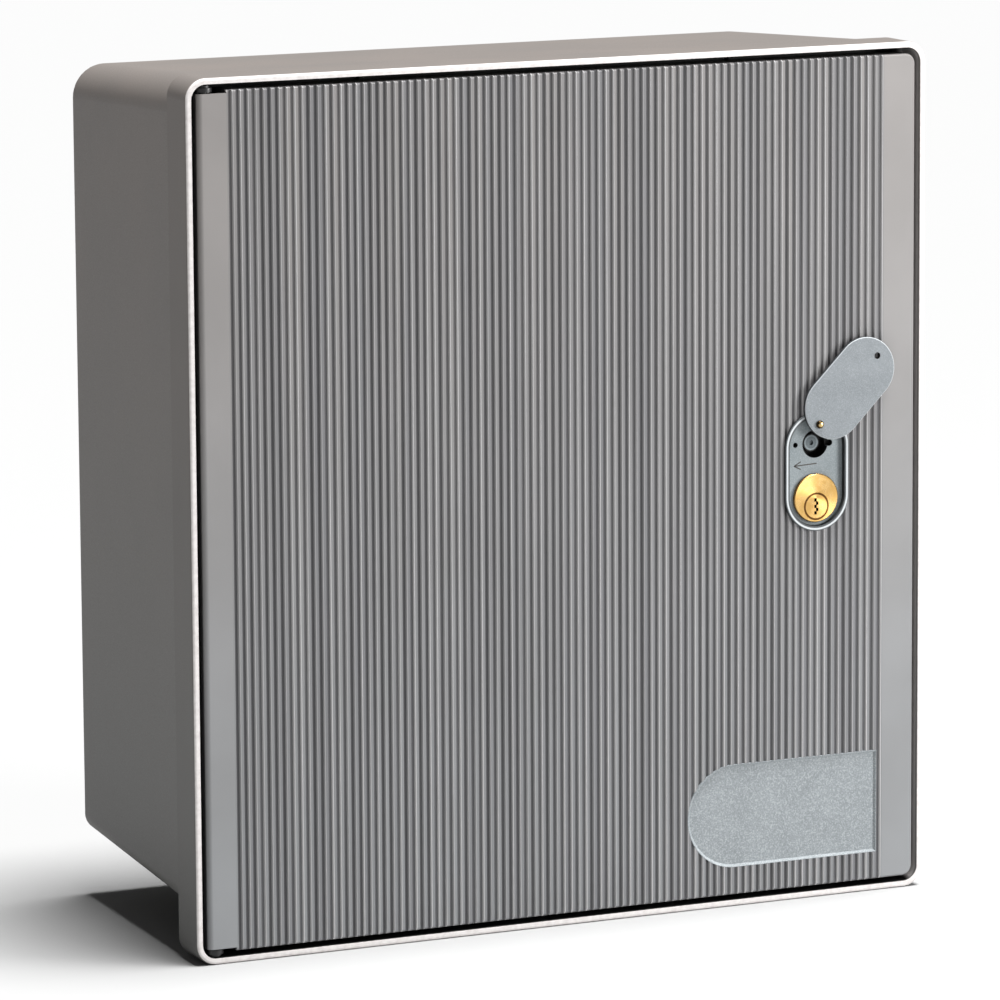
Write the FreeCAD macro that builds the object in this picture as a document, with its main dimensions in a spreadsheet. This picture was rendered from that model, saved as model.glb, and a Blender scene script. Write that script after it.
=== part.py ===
import FreeCAD, Part
import math
import os
import re
import Sketcher
from FreeCAD import Placement, Rotation, Vector

# Wall-mounted electric meter box with a ribbed, lockable door.
# Frame: X to the right seen from the front, Y towards the wall, Z up, in millimetres.
# The origin is on the wall, at the middle of the four fixing holes.
# Depths in this file are stand-offs: distances from the wall towards the front, so y is minus the stand-off.

# Driving sizes
SIZES = {
    # case moulding
    "case_width": 380,
    "case_height": 411,
    "case_depth": 165,
    "wall": 3.5,
    "body_corner": 16,
    "body_low_corner": 8,
    "body_draw_in": 7.3,
    "rear_round": 5,
    "collar_depth": 22,
    "collar_drop": 25,
    "collar_step": 1,
    "collar_corner": 10,
    "collar_round": 1.4,
    "rim_wall": 2.9,
    "flange_setback": 16,
    "flange_thickness": 3,
    "drop_recess": 18.5,
    "window_margin": 16,
    "hinge_margin": 24.5,
    "sill_height": 14,
    "window_corner": 6,
    "seal_lip": 2.5,
    "seal_lip_setback": 8,
    # wall fixing and meter plate
    "fixing_inset_x": 30,
    "fixing_inset_z": 27.5,
    "fixing_hole": 7,
    "fixing_seat": 16,
    "fixing_seat_height": 2,
    "plate_side_gap": 50,
    "plate_end_gap": 42.5,
    "plate_thickness": 4,
    "plate_corner": 8,
    "plate_stand_off": 22,
    "pillar": 13,
    "pillar_margin": 14,
    "plate_screw": 5,
    "plate_screw_head": 10,
    "plate_screw_head_height": 2.5,
    "plate_screw_bite": 10,
    "screw_tip_room": 0.5,
    "meter_slot_width": 6,
    "meter_slot_length": 36,
    "meter_slot_spread_x": 150,
    "meter_slot_spread_z": 190,
    "cable_notch_width": 90,
    "cable_notch_height": 30,
    "knockout": 32,
    "knockout_spacing": 70,
    "knockout_stand_off": 72,
    "knockout_groove": 1.6,
    "knockout_groove_depth": 1.2,
    # door moulding
    "door_gap": 2.9,
    "door_thickness": 4,
    "door_corner": 5,
    "door_chamfer": 0.8,
    "skirt_depth": 14,
    "skirt_wall": 3.5,
    "door_barrel": 4.5,
    "bead_round": 2.6,
    "barrel_short": 1.5,
    "left_band": 14.2,
    "right_band": 16.7,
    "groove_count": 88,
    "groove_mouth": 2.3,
    "groove_floor": 1.0,
    "groove_depth": 0.9,
    "pad_length": 101.7,
    "pad_height": 50.2,
    "pad_depth": 1.05,
    "pad_right_margin": 19.6,
    "pad_bottom_margin": 13.3,
    "stiffener": 2.5,
    "stiffener_height": 6,
    "stiffener_spacing": 105,
    "stiffener_overhang": 31.5,
    "stop_gap": 0.3,
    "stop_rib": 3,
    # hinge
    "hinge_pin": 4,
    "hinge_pin_fit": 0.1,
    "pin_depth": 14,
    "pin_tip_room": 1,
    "pin_head": 6.4,
    "pin_head_height": 1,
    "leaf_gap": 0.6,
    "washer_play": 0.05,
    "leaf_width": 8.6,
    "bracket_gauge": 2,
    "bracket_drop": 30,
    "bracket_screw": 4,
    "bracket_screw_head": 7.2,
    "bracket_screw_pitch": 12,
    "bracket_boss": 10,
    "bracket_boss_floor": 1,
    "bracket_screw_bite": 5,
    # lock plate
    "lock_inset": 52.8,
    "lock_raise": 2.5,
    "escutcheon_width": 34,
    "escutcheon_height": 57.5,
    "escutcheon_rim": 2.2,
    "rim_stand": 1.5,
    "rim_round": 0.6,
    "recess_depth": 2.5,
    "neck_margin": 1.1,
    "neck_fit": 0.1,
    "spindle_offset": 13,
    "cylinder_offset": 13,
    "key_hole": 13.4,
    "key_tab": 3,
    "key_tab_reach": 1,
    "seal_hole": 2.4,
    "seal_hole_offset": 10.5,
    "escutcheon_screw": 3,
    "escutcheon_screw_bite": 2,
    "escutcheon_screw_x": 10,
    "escutcheon_screw_z": 3,
    # swinging cover
    "cover_width": 31,
    "cover_length": 55,
    "cover_thickness": 2,
    "cover_round": 0.5,
    "cover_clearance": 0.3,
    "rivet_offset": 23,
    "rivet_shank": 2.2,
    "rivet_head": 3.8,
    "rivet_rim": 0.5,
    "rivet_dome": 1.2,
    "rivet_fit": 0.1,
    "rivet_boss": 6,
    "cover_hole": 3,
    "cover_hole_distance": 43.8,
    "cover_open_angle": 45,
    # brass cylinder
    "cylinder_head": 23.4,
    "cylinder_head_thickness": 1.6,
    "head_bevel": 0.4,
    "cylinder_barrel": 20,
    "cylinder_fit": 0.15,
    "plug_collar": 12.4,
    "plug_shaft": 9.6,
    "plug_offset": 4,
    "plug_fit": 0.1,
    "keyway_width": 1.3,
    "keyway_height": 7.8,
    "keyway_depth": 9,
    "keyway_steps": 5,
    "keyway_shift": 0.45,
    "nut_flats": 25,
    "nut_thickness": 4,
    "cam_reach": 10,
    "cam_width": 7,
    "cam_thickness": 2.5,
    "cam_gap": 0.4,
    "cam_screw": 3,
    "cam_screw_bite": 5,
    "cam_screw_head": 6.4,
    "cam_screw_head_height": 1.6,
    # lock case, spindle and rods
    "case_seat_gap": 0.3,
    "lock_case_wall": 3,
    "lock_bay_top_gap": 1.5,
    "lock_bay_low_gap": 2.5,
    "lock_case_floor": 2.5,
    "lock_bay_width": 29,
    "lock_lug": 9,
    "lock_lug_depth": 10,
    "lock_lug_inset": 9,
    "lock_cover_gauge": 1.5,
    "lock_case_screw": 3,
    "lock_case_screw_head": 6,
    "lock_case_screw_bite": 7,
    "small_screw_head": 5.4,
    "screw_head_height": 1.8,
    "spindle_post": 8.4,
    "spindle_post_recess": 4,
    "spindle_post_length": 3,
    "post_dimple": 2.4,
    "post_dimple_depth": 1,
    "spindle_bearing": 10,
    "spindle_boss": 17,
    "spindle_square": 7,
    "spindle_journal": 6,
    "running_fit": 0.1,
    "tooth_module": 1.5,
    "tooth_count": 16,
    "tooth_backlash": 0.2,
    "rod_width": 10,
    "rod_thickness": 5,
    "rod_flange_clearance": 0.7,
    "rod_guide_clearance": 0.3,
    "rod_top_clearance": 9,
    "rod_bottom_clearance": 10.5,
    "rod_lead": 1.5,
    "rack_gaps": 9,
    "rack_gaps_past_mesh": 2,
    "rack_end": 1.2,
    "lug_height": 4,
    "lug_reach": 4,
    "lug_cam_gap": 0.4,
    "guide_width": 18,
    "guide_height": 14,
    "guide_foot_width": 36,
    "guide_foot_thickness": 3,
    "guide_bridge": 1.5,
    "guide_boss": 8,
    "guide_boss_height": 4,
    "guide_screw": 3,
    "guide_screw_spread": 27,
    "guide_screw_bite": 2.5,
    "upper_guide_setback": 42,
    "lower_guide_setback": 40,
    # door seal
    "seal_cover": 1.5,
    "seal_grip": 5,
    "mitre_gap": 0.1,
}

# Tooth proportions, in modules, and the slope of a rack's flank
PRESSURE_ANGLE = 20.0
ADDENDUM = 1.0
DEDENDUM = 1.25
FLANK_SLOPE = math.tan(math.radians(PRESSURE_ANGLE))

# Places worked out from the driving sizes
PLACES = {
    "front": "case_depth",
    "collar_back": "front - collar_depth",
    "flange_front": "front - flange_setback",
    "flange_back": "flange_front - flange_thickness",
    "drop_floor": "front - drop_recess",
    "body_width": "case_width - 2 * collar_step",
    "body_height": "case_height - collar_step - collar_drop",
    "body_top": "body_height / 2",
    "body_bottom": "0 - body_height / 2",
    "collar_top": "body_top + collar_step",
    "collar_bottom": "body_bottom - collar_drop",
    "rim_middle": "(collar_top + collar_bottom) / 2",
    "draw_per_depth": "body_draw_in / collar_back",
    "cavity_draw_front": "draw_per_depth * (flange_back - collar_back)",
    "cavity_draw_back": "draw_per_depth * (collar_back - wall)",
    "recess_half_width": "case_width / 2 - rim_wall",
    "recess_half_height": "case_height / 2 - rim_wall",
    "door_half_width": "recess_half_width - door_gap",
    "door_half_height": "recess_half_height - door_gap",
    "panel_back": "front - door_thickness",
    "skirt_back": "front - skirt_depth",
    "hinge_x": "door_barrel - door_half_width",
    "hinge_stand_off": "front - door_barrel",
    "barrel_half": "door_half_height - barrel_short",
    "ribs_left": "left_band - door_half_width",
    "ribs_width": "2 * door_half_width - left_band - right_band",
    "groove_pitch": "ribs_width / groove_count",
    "window_left": "hinge_margin - case_width / 2",
    "window_right": "case_width / 2 - window_margin",
    "window_top": "collar_top - window_margin",
    "window_bottom": "body_bottom + sill_height",
    "window_width": "window_right - window_left",
    "window_height": "window_top - window_bottom",
    "window_x": "(window_left + window_right) / 2",
    "window_z": "(window_top + window_bottom) / 2",
    "seal_lip_front": "front - seal_lip_setback",
    "pad_right": "door_half_width - pad_right_margin",
    "pad_left": "pad_right - pad_length",
    "pad_bottom": "rim_middle - door_half_height + pad_bottom_margin",
    "pad_top": "pad_bottom + pad_height",
    "lock_x": "door_half_width - lock_inset",
    "lock_z": "rim_middle + lock_raise",
    "spindle_z": "lock_z + spindle_offset",
    "cylinder_z": "lock_z - cylinder_offset",
    "plug_z": "cylinder_z - plug_offset",
    "rivet_z": "lock_z + rivet_offset",
    "rim_face": "front + rim_stand",
    "lock_floor": "rim_face - recess_depth",
    "recess_width": "escutcheon_width - 2 * escutcheon_rim",
    "recess_height": "escutcheon_height - 2 * escutcheon_rim",
    "neck_width": "recess_width + 2 * neck_margin",
    "neck_height": "recess_height + 2 * neck_margin",
    "cover_back": "rim_face + cover_clearance",
    "cover_front": "cover_back + cover_thickness",
    "lock_case_front": "panel_back - case_seat_gap",
    "lock_bay_front": "lock_case_front - lock_case_floor",
    "rod_front": "flange_back - rod_flange_clearance",
    "rod_back": "rod_front - rod_thickness",
    "deck": "rod_front + rod_guide_clearance",
    "lock_case_back": "rod_back - rod_guide_clearance",
    "lock_cover_back": "lock_case_back - lock_cover_gauge",
    "pitch_radius": "tooth_module * tooth_count / 2",
    "rod_inner": f"pitch_radius - {ADDENDUM} * tooth_module",
    "rod_outer": "rod_inner + rod_width",
    "rod_middle": "(rod_inner + rod_outer) / 2",
    "rod_travel": "pitch_radius * pi / 2",
    "rack_pitch": "tooth_module * pi",
    "rack_gap_half_way": "rack_pitch / 2 + tooth_backlash",
    "rack_gap_mouth": f"rack_gap_half_way + {2 * ADDENDUM * FLANK_SLOPE} * tooth_module",
    "rack_gap_floor": f"rack_gap_half_way - {2 * DEDENDUM * FLANK_SLOPE} * tooth_module",
    "rack_gap_depth": f"{ADDENDUM + DEDENDUM} * tooth_module",
    "rack_reach": "rack_pitch * (rack_gaps - rack_gaps_past_mesh)",
    "lock_half_width": "rod_outer + rod_guide_clearance + lock_case_wall",
    "pinion_tip": f"pitch_radius + {ADDENDUM} * tooth_module",
    "lock_case_top": "spindle_z + pinion_tip + lock_bay_top_gap + lock_case_wall",
    "lock_case_low": "cylinder_z - nut_flats / 2 - lock_bay_low_gap - lock_case_wall",
    "lug_top": "lock_case_top - lock_lug_inset",
    "lug_low": "lock_case_low + lock_lug_inset",
    "lug_x": "lock_half_width + lock_lug / 4",
    "rod_top": "window_top - rod_top_clearance",
    "rod_bottom": "window_bottom + rod_bottom_clearance",
    "head_front": "lock_floor + cylinder_head_thickness",
    "cam_front": "rod_front + running_fit",
    "cam_back": "cam_front - cam_thickness",
    "post_front": "lock_floor - spindle_post_recess",
    "post_back": "post_front - spindle_post_length",
    "guide_seat": "panel_back - guide_boss_height",
    "guide_back": "rod_back - rod_guide_clearance - guide_bridge",
    "upper_guide_z": "rod_top - upper_guide_setback",
    "lower_guide_z": "rod_bottom + lower_guide_setback",
    "fixing_x": "case_width / 2 - fixing_inset_x",
    "fixing_z": "body_height / 2 - fixing_inset_z",
    "plate_width": "case_width - 2 * plate_side_gap",
    "plate_height": "body_height - 2 * plate_end_gap",
    "plate_front": "plate_stand_off + plate_thickness",
    "pillar_x": "plate_width / 2 - pillar_margin",
    "pillar_z": "plate_height / 2 - pillar_margin",
    "leaf_low": "barrel_half + leaf_gap",
    "leaf_high": "leaf_low + bracket_gauge",
    "bracket_face": "flange_front + bracket_gauge",
    "bracket_screw_first": "leaf_high - bracket_screw_pitch",
}

doc = FreeCAD.newDocument("meter_box")
sheet = doc.addObject("Spreadsheet::Sheet", "sizes")
subparts = []


def fill_sheet():
    """Write each driving size to a row of the sheet and give its cell an alias."""
    for row, (name, number) in enumerate(SIZES.items(), start=1):
        sheet.set(f"A{row}", name)
        sheet.set(f"B{row}", str(number))
        sheet.setAlias(f"B{row}", name)
    doc.recompute()


def formula(text):
    """Spell out a short formula: places become their own formulas and sizes become sheet cells."""

    def spell(match):
        word = match.group(0)
        if word in PLACES:
            return "(" + formula(PLACES[word]) + ")"
        if word in SIZES:
            return "sizes." + word
        return word

    return re.sub(r"[a-z][a-z_]*", spell, text)


def value(text):
    """The number that a short formula gives now."""
    result = sheet.evalExpression(formula(text))
    return float(getattr(result, "Value", result))


def bind(obj, **formulas):
    """Bind properties of an object to short formulas."""
    for name, text in formulas.items():
        obj.setExpression(name, formula(text))


def set_place(obj, x="0", stand_off="0", z="0"):
    """Bind an object's position to short formulas."""
    obj.setExpression("Placement.Base.x", formula(x))
    obj.setExpression("Placement.Base.y", formula(f"0 - ({stand_off})"))
    obj.setExpression("Placement.Base.z", formula(z))


def finish(obj, label):
    """Label a finished sub-part and keep it for the export."""
    obj.Label = label
    subparts.append(obj)
    return obj


# Primitives and booleans
# Every cutter reaches 1 mm past the open faces that it cuts.


def box(name, x, stand_off, z):
    """A box between two x values, two stand-offs and two heights."""
    piece = doc.addObject("Part::Box", name)
    bind(piece, Length=f"({x[1]}) - ({x[0]})", Width=f"({stand_off[1]}) - ({stand_off[0]})",
         Height=f"({z[1]}) - ({z[0]})")
    set_place(piece, x[0], stand_off[1], z[0])
    return piece


def rod(name, x, stand_off, z, diameter):
    """A round bar along Y between two stand-offs."""
    piece = doc.addObject("Part::Cylinder", name)
    bind(piece, Radius=f"({diameter}) / 2", Height=f"({stand_off[1]}) - ({stand_off[0]})")
    piece.Placement = Placement(Vector(), Rotation(Vector(1, 0, 0), -90))
    set_place(piece, x, stand_off[1], z)
    return piece


def post(name, x, stand_off, z, diameter):
    """A round bar along Z between two heights."""
    piece = doc.addObject("Part::Cylinder", name)
    bind(piece, Radius=f"({diameter}) / 2", Height=f"({z[1]}) - ({z[0]})")
    set_place(piece, x, stand_off, z[0])
    return piece


def cone(name, x, stand_off, z, back_diameter, front_diameter):
    """A cone along Y between two stand-offs."""
    piece = doc.addObject("Part::Cone", name)
    bind(piece, Radius1=f"({front_diameter}) / 2", Radius2=f"({back_diameter}) / 2",
         Height=f"({stand_off[1]}) - ({stand_off[0]})")
    piece.Placement = Placement(Vector(), Rotation(Vector(1, 0, 0), -90))
    set_place(piece, x, stand_off[1], z)
    return piece


def fuse(name, pieces):
    joined = doc.addObject("Part::MultiFuse", name)
    joined.Shapes = pieces
    joined.Refine = True
    return joined


def group(name, pieces):
    """Several separate solids in one node."""
    gathered = doc.addObject("Part::Compound", name)
    gathered.Links = pieces
    return gathered


def cut(name, base, tools):
    tool = tools[0] if len(tools) == 1 else fuse(name + "_tools", tools)
    rest = doc.addObject("Part::Cut", name)
    rest.Base = base
    rest.Tool = tool
    rest.Refine = True
    return rest


# Sketches


def new_body(name):
    return doc.addObject("PartDesign::Body", name)


def front_sketch(body, name, stand_off, x="0", z="0"):
    """A sketch parallel to the wall, with its own origin at x and z."""
    sketch = body.newObject("Sketcher::SketchObject", name)
    plane = next(item for item in body.Origin.OriginFeatures if item.Role == "XZ_Plane")
    sketch.AttachmentSupport = [(plane, "")]
    sketch.MapMode = "FlatFace"
    sketch.setExpression("AttachmentOffset.Base.x", formula(x))
    sketch.setExpression("AttachmentOffset.Base.y", formula(z))
    sketch.setExpression("AttachmentOffset.Base.z", formula(stand_off))
    return sketch


def level_sketch(body, name, height, x="0", stand_off="0"):
    """A level sketch, with its own origin at x and the stand-off."""
    sketch = body.newObject("Sketcher::SketchObject", name)
    plane = next(item for item in body.Origin.OriginFeatures if item.Role == "XY_Plane")
    sketch.AttachmentSupport = [(plane, "")]
    sketch.MapMode = "FlatFace"
    sketch.setExpression("AttachmentOffset.Base.x", formula(x))
    sketch.setExpression("AttachmentOffset.Base.y", formula(f"0 - ({stand_off})"))
    sketch.setExpression("AttachmentOffset.Base.z", formula(height))
    return sketch


def dimension(sketch, name, text, kind, *references):
    """Add a dimension to a sketch and bind it to a short formula."""
    index = sketch.addConstraint(Sketcher.Constraint(kind, *references, value(text)))
    sketch.renameConstraint(index, name)
    sketch.setExpression("Constraints." + name, formula(text))


def draw_rounded_rectangle(sketch, tag, width, height, radius, low_radius=None):
    """Draw a rounded rectangle about the sketch's own origin; its lower corners may have their own radius."""
    low_radius = low_radius or radius
    half_w = value(width) / 2
    half_h = value(height) / 2
    rounds = [(1, 1, radius), (-1, 1, radius), (-1, -1, low_radius), (1, -1, low_radius)]
    arcs = []
    for index, (sx, sy, corner_radius) in enumerate(rounds):
        r = value(corner_radius)
        centre = Vector(sx * (half_w - r), sy * (half_h - r), 0)
        circle = Part.Circle(centre, Vector(0, 0, 1), r)
        start = index * math.pi / 2
        arcs.append(sketch.addGeometry(Part.ArcOfCircle(circle, start, start + math.pi / 2), False))
    lines = []
    for index in range(4):
        begin = sketch.getPoint(arcs[index], 2)
        end = sketch.getPoint(arcs[(index + 1) % 4], 1)
        lines.append(sketch.addGeometry(Part.LineSegment(begin, end), False))
    for index in range(4):
        following = (index + 1) % 4
        sketch.addConstraint(Sketcher.Constraint("Tangent", arcs[index], 2, lines[index], 1))
        sketch.addConstraint(Sketcher.Constraint("Tangent", lines[index], 2, arcs[following], 1))
    sketch.addConstraint(Sketcher.Constraint("Equal", arcs[0], arcs[1]))
    sketch.addConstraint(Sketcher.Constraint("Equal", arcs[2], arcs[3]))
    sketch.addConstraint(Sketcher.Constraint("Symmetric", lines[0], 1, lines[0], 2, -2))
    sketch.addConstraint(Sketcher.Constraint("Vertical", lines[1]))
    sketch.addConstraint(Sketcher.Constraint("Horizontal", lines[2]))
    sketch.addConstraint(Sketcher.Constraint("Vertical", lines[3]))
    dimension(sketch, tag + "radius", radius, "Radius", arcs[0])
    dimension(sketch, tag + "low_radius", low_radius, "Radius", arcs[2])
    dimension(sketch, tag + "width", width, "DistanceX", lines[1], 1, lines[3], 1)
    dimension(sketch, tag + "height", height, "DistanceY", lines[2], 1, lines[0], 1)
    dimension(sketch, tag + "half_height", f"({height}) / 2", "DistanceY", -1, 1, lines[0], 1)


def draw_slot(sketch, tag, width, height):
    """Draw an upright slot with round ends about the sketch's own origin."""
    r = value(width) / 2
    reach = value(height) / 2 - r
    upper = Part.Circle(Vector(0, reach, 0), Vector(0, 0, 1), r)
    lower = Part.Circle(Vector(0, -reach, 0), Vector(0, 0, 1), r)
    top = sketch.addGeometry(Part.ArcOfCircle(upper, 0, math.pi), False)
    bottom = sketch.addGeometry(Part.ArcOfCircle(lower, math.pi, 2 * math.pi), False)
    left = sketch.addGeometry(Part.LineSegment(Vector(-r, reach, 0), Vector(-r, -reach, 0)), False)
    right = sketch.addGeometry(Part.LineSegment(Vector(r, -reach, 0), Vector(r, reach, 0)), False)
    for first, first_end, second, second_end in (
            (top, 2, left, 1), (left, 2, bottom, 1), (bottom, 2, right, 1), (right, 2, top, 1)):
        sketch.addConstraint(Sketcher.Constraint("Tangent", first, first_end, second, second_end))
    sketch.addConstraint(Sketcher.Constraint("Equal", top, bottom))
    sketch.addConstraint(Sketcher.Constraint("Vertical", left))
    sketch.addConstraint(Sketcher.Constraint("Symmetric", top, 3, bottom, 3, -1, 1))
    dimension(sketch, tag + "radius", f"({width}) / 2", "Radius", top)
    dimension(sketch, tag + "reach", f"({height}) - ({width})", "DistanceY", bottom, 3, top, 3)


def draw_taper(sketch, tag, near_width, far_width, depth):
    """Draw a symmetric four-sided profile from the sketch's X axis up to a depth."""
    near = value(near_width) / 2
    far = value(far_width) / 2
    deep = value(depth)
    points = [Vector(-near, 0, 0), Vector(near, 0, 0), Vector(far, deep, 0), Vector(-far, deep, 0)]
    sides = []
    for index in range(4):
        sides.append(sketch.addGeometry(Part.LineSegment(points[index], points[(index + 1) % 4]), False))
    for index in range(4):
        sketch.addConstraint(Sketcher.Constraint("Coincident", sides[index], 2, sides[(index + 1) % 4], 1))
    sketch.addConstraint(Sketcher.Constraint("Symmetric", sides[0], 1, sides[0], 2, -1, 1))
    sketch.addConstraint(Sketcher.Constraint("Horizontal", sides[0]))
    sketch.addConstraint(Sketcher.Constraint("Symmetric", sides[2], 1, sides[2], 2, -2))
    dimension(sketch, tag + "near", near_width, "DistanceX", sides[0], 1, sides[0], 2)
    dimension(sketch, tag + "far", far_width, "DistanceX", sides[2], 2, sides[2], 1)
    dimension(sketch, tag + "depth", depth, "DistanceY", sides[1], 1, sides[1], 2)


# Features


def pad(body, name, sketch, length, backwards=False):
    feature = body.newObject("PartDesign::Pad", name)
    feature.Profile = sketch
    feature.Reversed = backwards
    bind(feature, Length=length)
    return feature


def pocket(body, name, sketch, depth):
    feature = body.newObject("PartDesign::Pocket", name)
    feature.Profile = sketch
    bind(feature, Length=depth)
    return feature


def loft(body, kind, name, first, second):
    feature = body.newObject(kind, name)
    feature.Profile = first
    feature.Sections = [(second, [""])]
    feature.Ruled = True
    return feature


def dress_edges(body, kind, name, base, wanted):
    """A fillet or chamfer on the edges of a feature that pass the wanted test."""
    doc.recompute()
    names = [f"Edge{i}" for i, edge in enumerate(base.Shape.Edges, start=1) if wanted(edge.BoundBox)]
    feature = body.newObject(kind, name)
    feature.Base = (base, names)
    return feature


def round_edges(body, name, base, radius, wanted):
    bind(dress_edges(body, "PartDesign::Fillet", name, base, wanted), Radius=radius)


def bevel_edges(body, name, base, size, wanted):
    bind(dress_edges(body, "PartDesign::Chamfer", name, base, wanted), Size=size)


def lies_at(stand_off):
    """A test for edges that lie flat at one stand-off."""
    y = -value(stand_off)
    return lambda extent: abs(extent.YMin - y) < 1e-3 and abs(extent.YMax - y) < 1e-3


def row(body, name, original, axis, length, count):
    """Repeat one feature along an axis of its sketch."""
    pattern = body.newObject("PartDesign::LinearPattern", name)
    pattern.Originals = [original]
    pattern.Direction = (original.Profile[0], [axis])
    bind(pattern, Length=length, Occurrences=count)
    body.Tip = pattern
    return pattern


def slab(name, stand_off, x, z, width, height, radius, hole=None):
    """A rounded plate parallel to the wall between two stand-offs, with a like hole if asked."""
    body = new_body(name)
    sketch = front_sketch(body, name + "_outline", stand_off[0], x, z)
    draw_rounded_rectangle(sketch, "outer_", width, height, radius)
    if hole:
        draw_rounded_rectangle(sketch, "inner_", *hole)
    pad(body, name + "_pad", sketch, f"({stand_off[1]}) - ({stand_off[0]})")
    return body


def slot_slab(name, stand_off, x, z, width, height, front_round=None):
    """A plate with round ends parallel to the wall between two stand-offs."""
    body = new_body(name)
    sketch = front_sketch(body, name + "_outline", stand_off[0], x, z)
    draw_slot(sketch, "outer_", width, height)
    plate = pad(body, name + "_pad", sketch, f"({stand_off[1]}) - ({stand_off[0]})")
    if front_round:
        round_edges(body, name + "_edges", plate, front_round, lies_at(stand_off[1]))
    return body


def level_slot(name, stand_off, x, z, length, width):
    """A cutter for a slot that runs along X."""
    reach = f"(({length}) - ({width})) / 2"
    return fuse(name, [
        box(name + "_middle", (f"{x} - {reach}", f"{x} + {reach}"), stand_off,
            (f"{z} - ({width}) / 2", f"{z} + ({width}) / 2")),
        rod(name + "_left", f"{x} - {reach}", stand_off, z, width),
        rod(name + "_right", f"{x} + {reach}", stand_off, z, width)])


def corners(x, z):
    """The four places at plus and minus x and z, as short formulas."""
    return [(f"{sx}({x})", f"{sz}({z})") for sx in ("0 - ", "") for sz in ("0 - ", "")]


# Case


def case_moulding():
    """The deep moulding: collar, tapered body, cavity, door recess, window and sealing lip."""
    body = new_body("case_moulding")
    outline = front_sketch(body, "collar_outline", "collar_back", z="rim_middle")
    draw_rounded_rectangle(outline, "", "case_width", "case_height", "collar_corner")
    collar = pad(body, "collar", outline, "collar_depth")
    round_edges(body, "collar_edges", collar, "collar_round", lies_at("front"))

    shoulder = front_sketch(body, "shoulder_outline", "collar_back")
    draw_rounded_rectangle(shoulder, "", "body_width", "body_height", "body_corner", "body_low_corner")
    rear = front_sketch(body, "rear_outline", "0")
    draw_rounded_rectangle(rear, "", "body_width - 2 * body_draw_in",
                           "body_height - 2 * body_draw_in", "body_corner", "body_low_corner")
    hull = loft(body, "PartDesign::AdditiveLoft", "hull", shoulder, rear)
    round_edges(body, "rear_edges", hull, "rear_round", lies_at("0"))

    cavity_back = front_sketch(body, "cavity_back", "wall")
    draw_rounded_rectangle(cavity_back, "", "body_width - 2 * wall - 2 * cavity_draw_back",
                           "body_height - 2 * wall - 2 * cavity_draw_back", "body_corner - wall",
                           "body_low_corner - wall")
    cavity_front = front_sketch(body, "cavity_front", "flange_back")
    draw_rounded_rectangle(cavity_front, "", "body_width - 2 * wall + 2 * cavity_draw_front",
                           "body_height - 2 * wall + 2 * cavity_draw_front", "body_corner - wall",
                           "body_low_corner - wall")
    loft(body, "PartDesign::SubtractiveLoft", "cavity", cavity_back, cavity_front)

    recess = front_sketch(body, "recess_outline", "front", z="rim_middle")
    draw_rounded_rectangle(recess, "", "2 * recess_half_width", "2 * recess_half_height",
                           "collar_corner - rim_wall")
    pocket(body, "door_recess", recess, "flange_setback")

    drop_top = "body_bottom"
    drop_bottom = "rim_middle - recess_half_height"
    drop = front_sketch(body, "drop_outline", "flange_front", z=f"({drop_top} + {drop_bottom}) / 2")
    draw_rounded_rectangle(drop, "", "2 * recess_half_width", f"({drop_top}) - ({drop_bottom})",
                           "collar_corner - rim_wall")
    pocket(body, "drop_recess", drop, "drop_recess - flange_setback")

    window = front_sketch(body, "window_outline", "flange_front", "window_x", "window_z")
    draw_rounded_rectangle(window, "", "window_width", "window_height", "window_corner")
    pocket(body, "window", window, "flange_thickness")

    lip = front_sketch(body, "lip_outline", "flange_front", "window_x", "window_z")
    draw_rounded_rectangle(lip, "outer_", "window_width + 2 * seal_lip", "window_height + 2 * seal_lip",
                           "window_corner + seal_lip")
    draw_rounded_rectangle(lip, "inner_", "window_width", "window_height", "window_corner")
    pad(body, "lip", lip, "seal_lip_front - flange_front")
    return body


def hinge_screw_places():
    """The heights of the hinge bracket screws, two above and two below, measured from the rim's middle."""
    first = "bracket_screw_first"
    second = "bracket_screw_first - bracket_screw_pitch"
    return [f"rim_middle + {first}", f"rim_middle + {second}",
            f"rim_middle - ({first})", f"rim_middle - ({second})"]


def case_shell():
    added = [case_moulding()]
    for index, (x, z) in enumerate(corners("pillar_x", "pillar_z")):
        added.append(rod(f"pillar_{index}", x, ("wall / 2", "plate_stand_off"), z, "pillar"))
    for index, (x, z) in enumerate(corners("fixing_x", "fixing_z")):
        added.append(rod(f"fixing_seat_{index}", x, ("wall / 2", "wall + fixing_seat_height"), z,
                         "fixing_seat"))
    for index, z in enumerate(hinge_screw_places()[:2]):
        added.append(rod(f"bracket_boss_{index}", "hinge_x",
                         ("flange_front - bracket_screw_bite - bracket_boss_floor",
                          "flange_back + flange_thickness / 2"), z,
                         "bracket_boss"))
    added.append(corner_pad())
    added += stop_ribs()

    removed = []
    for index, (x, z) in enumerate(corners("fixing_x", "fixing_z")):
        removed.append(rod(f"fixing_hole_{index}", x, ("0 - 1", "wall + fixing_seat_height + 1"), z,
                           "fixing_hole"))
    for index, (x, z) in enumerate(corners("pillar_x", "pillar_z")):
        removed.append(rod(f"pillar_bore_{index}", x, ("wall", "plate_stand_off + 1"), z,
                           "plate_screw"))
    for index, z in enumerate(hinge_screw_places()):
        removed.append(rod(f"bracket_bore_{index}", "hinge_x",
                           ("flange_front - bracket_screw_bite", "flange_front + 1"), z,
                           "bracket_screw"))
    removed += knockout_rings()
    return finish(cut("case_shell", fuse("case_with_bosses", added), removed), "case_shell")


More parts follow.
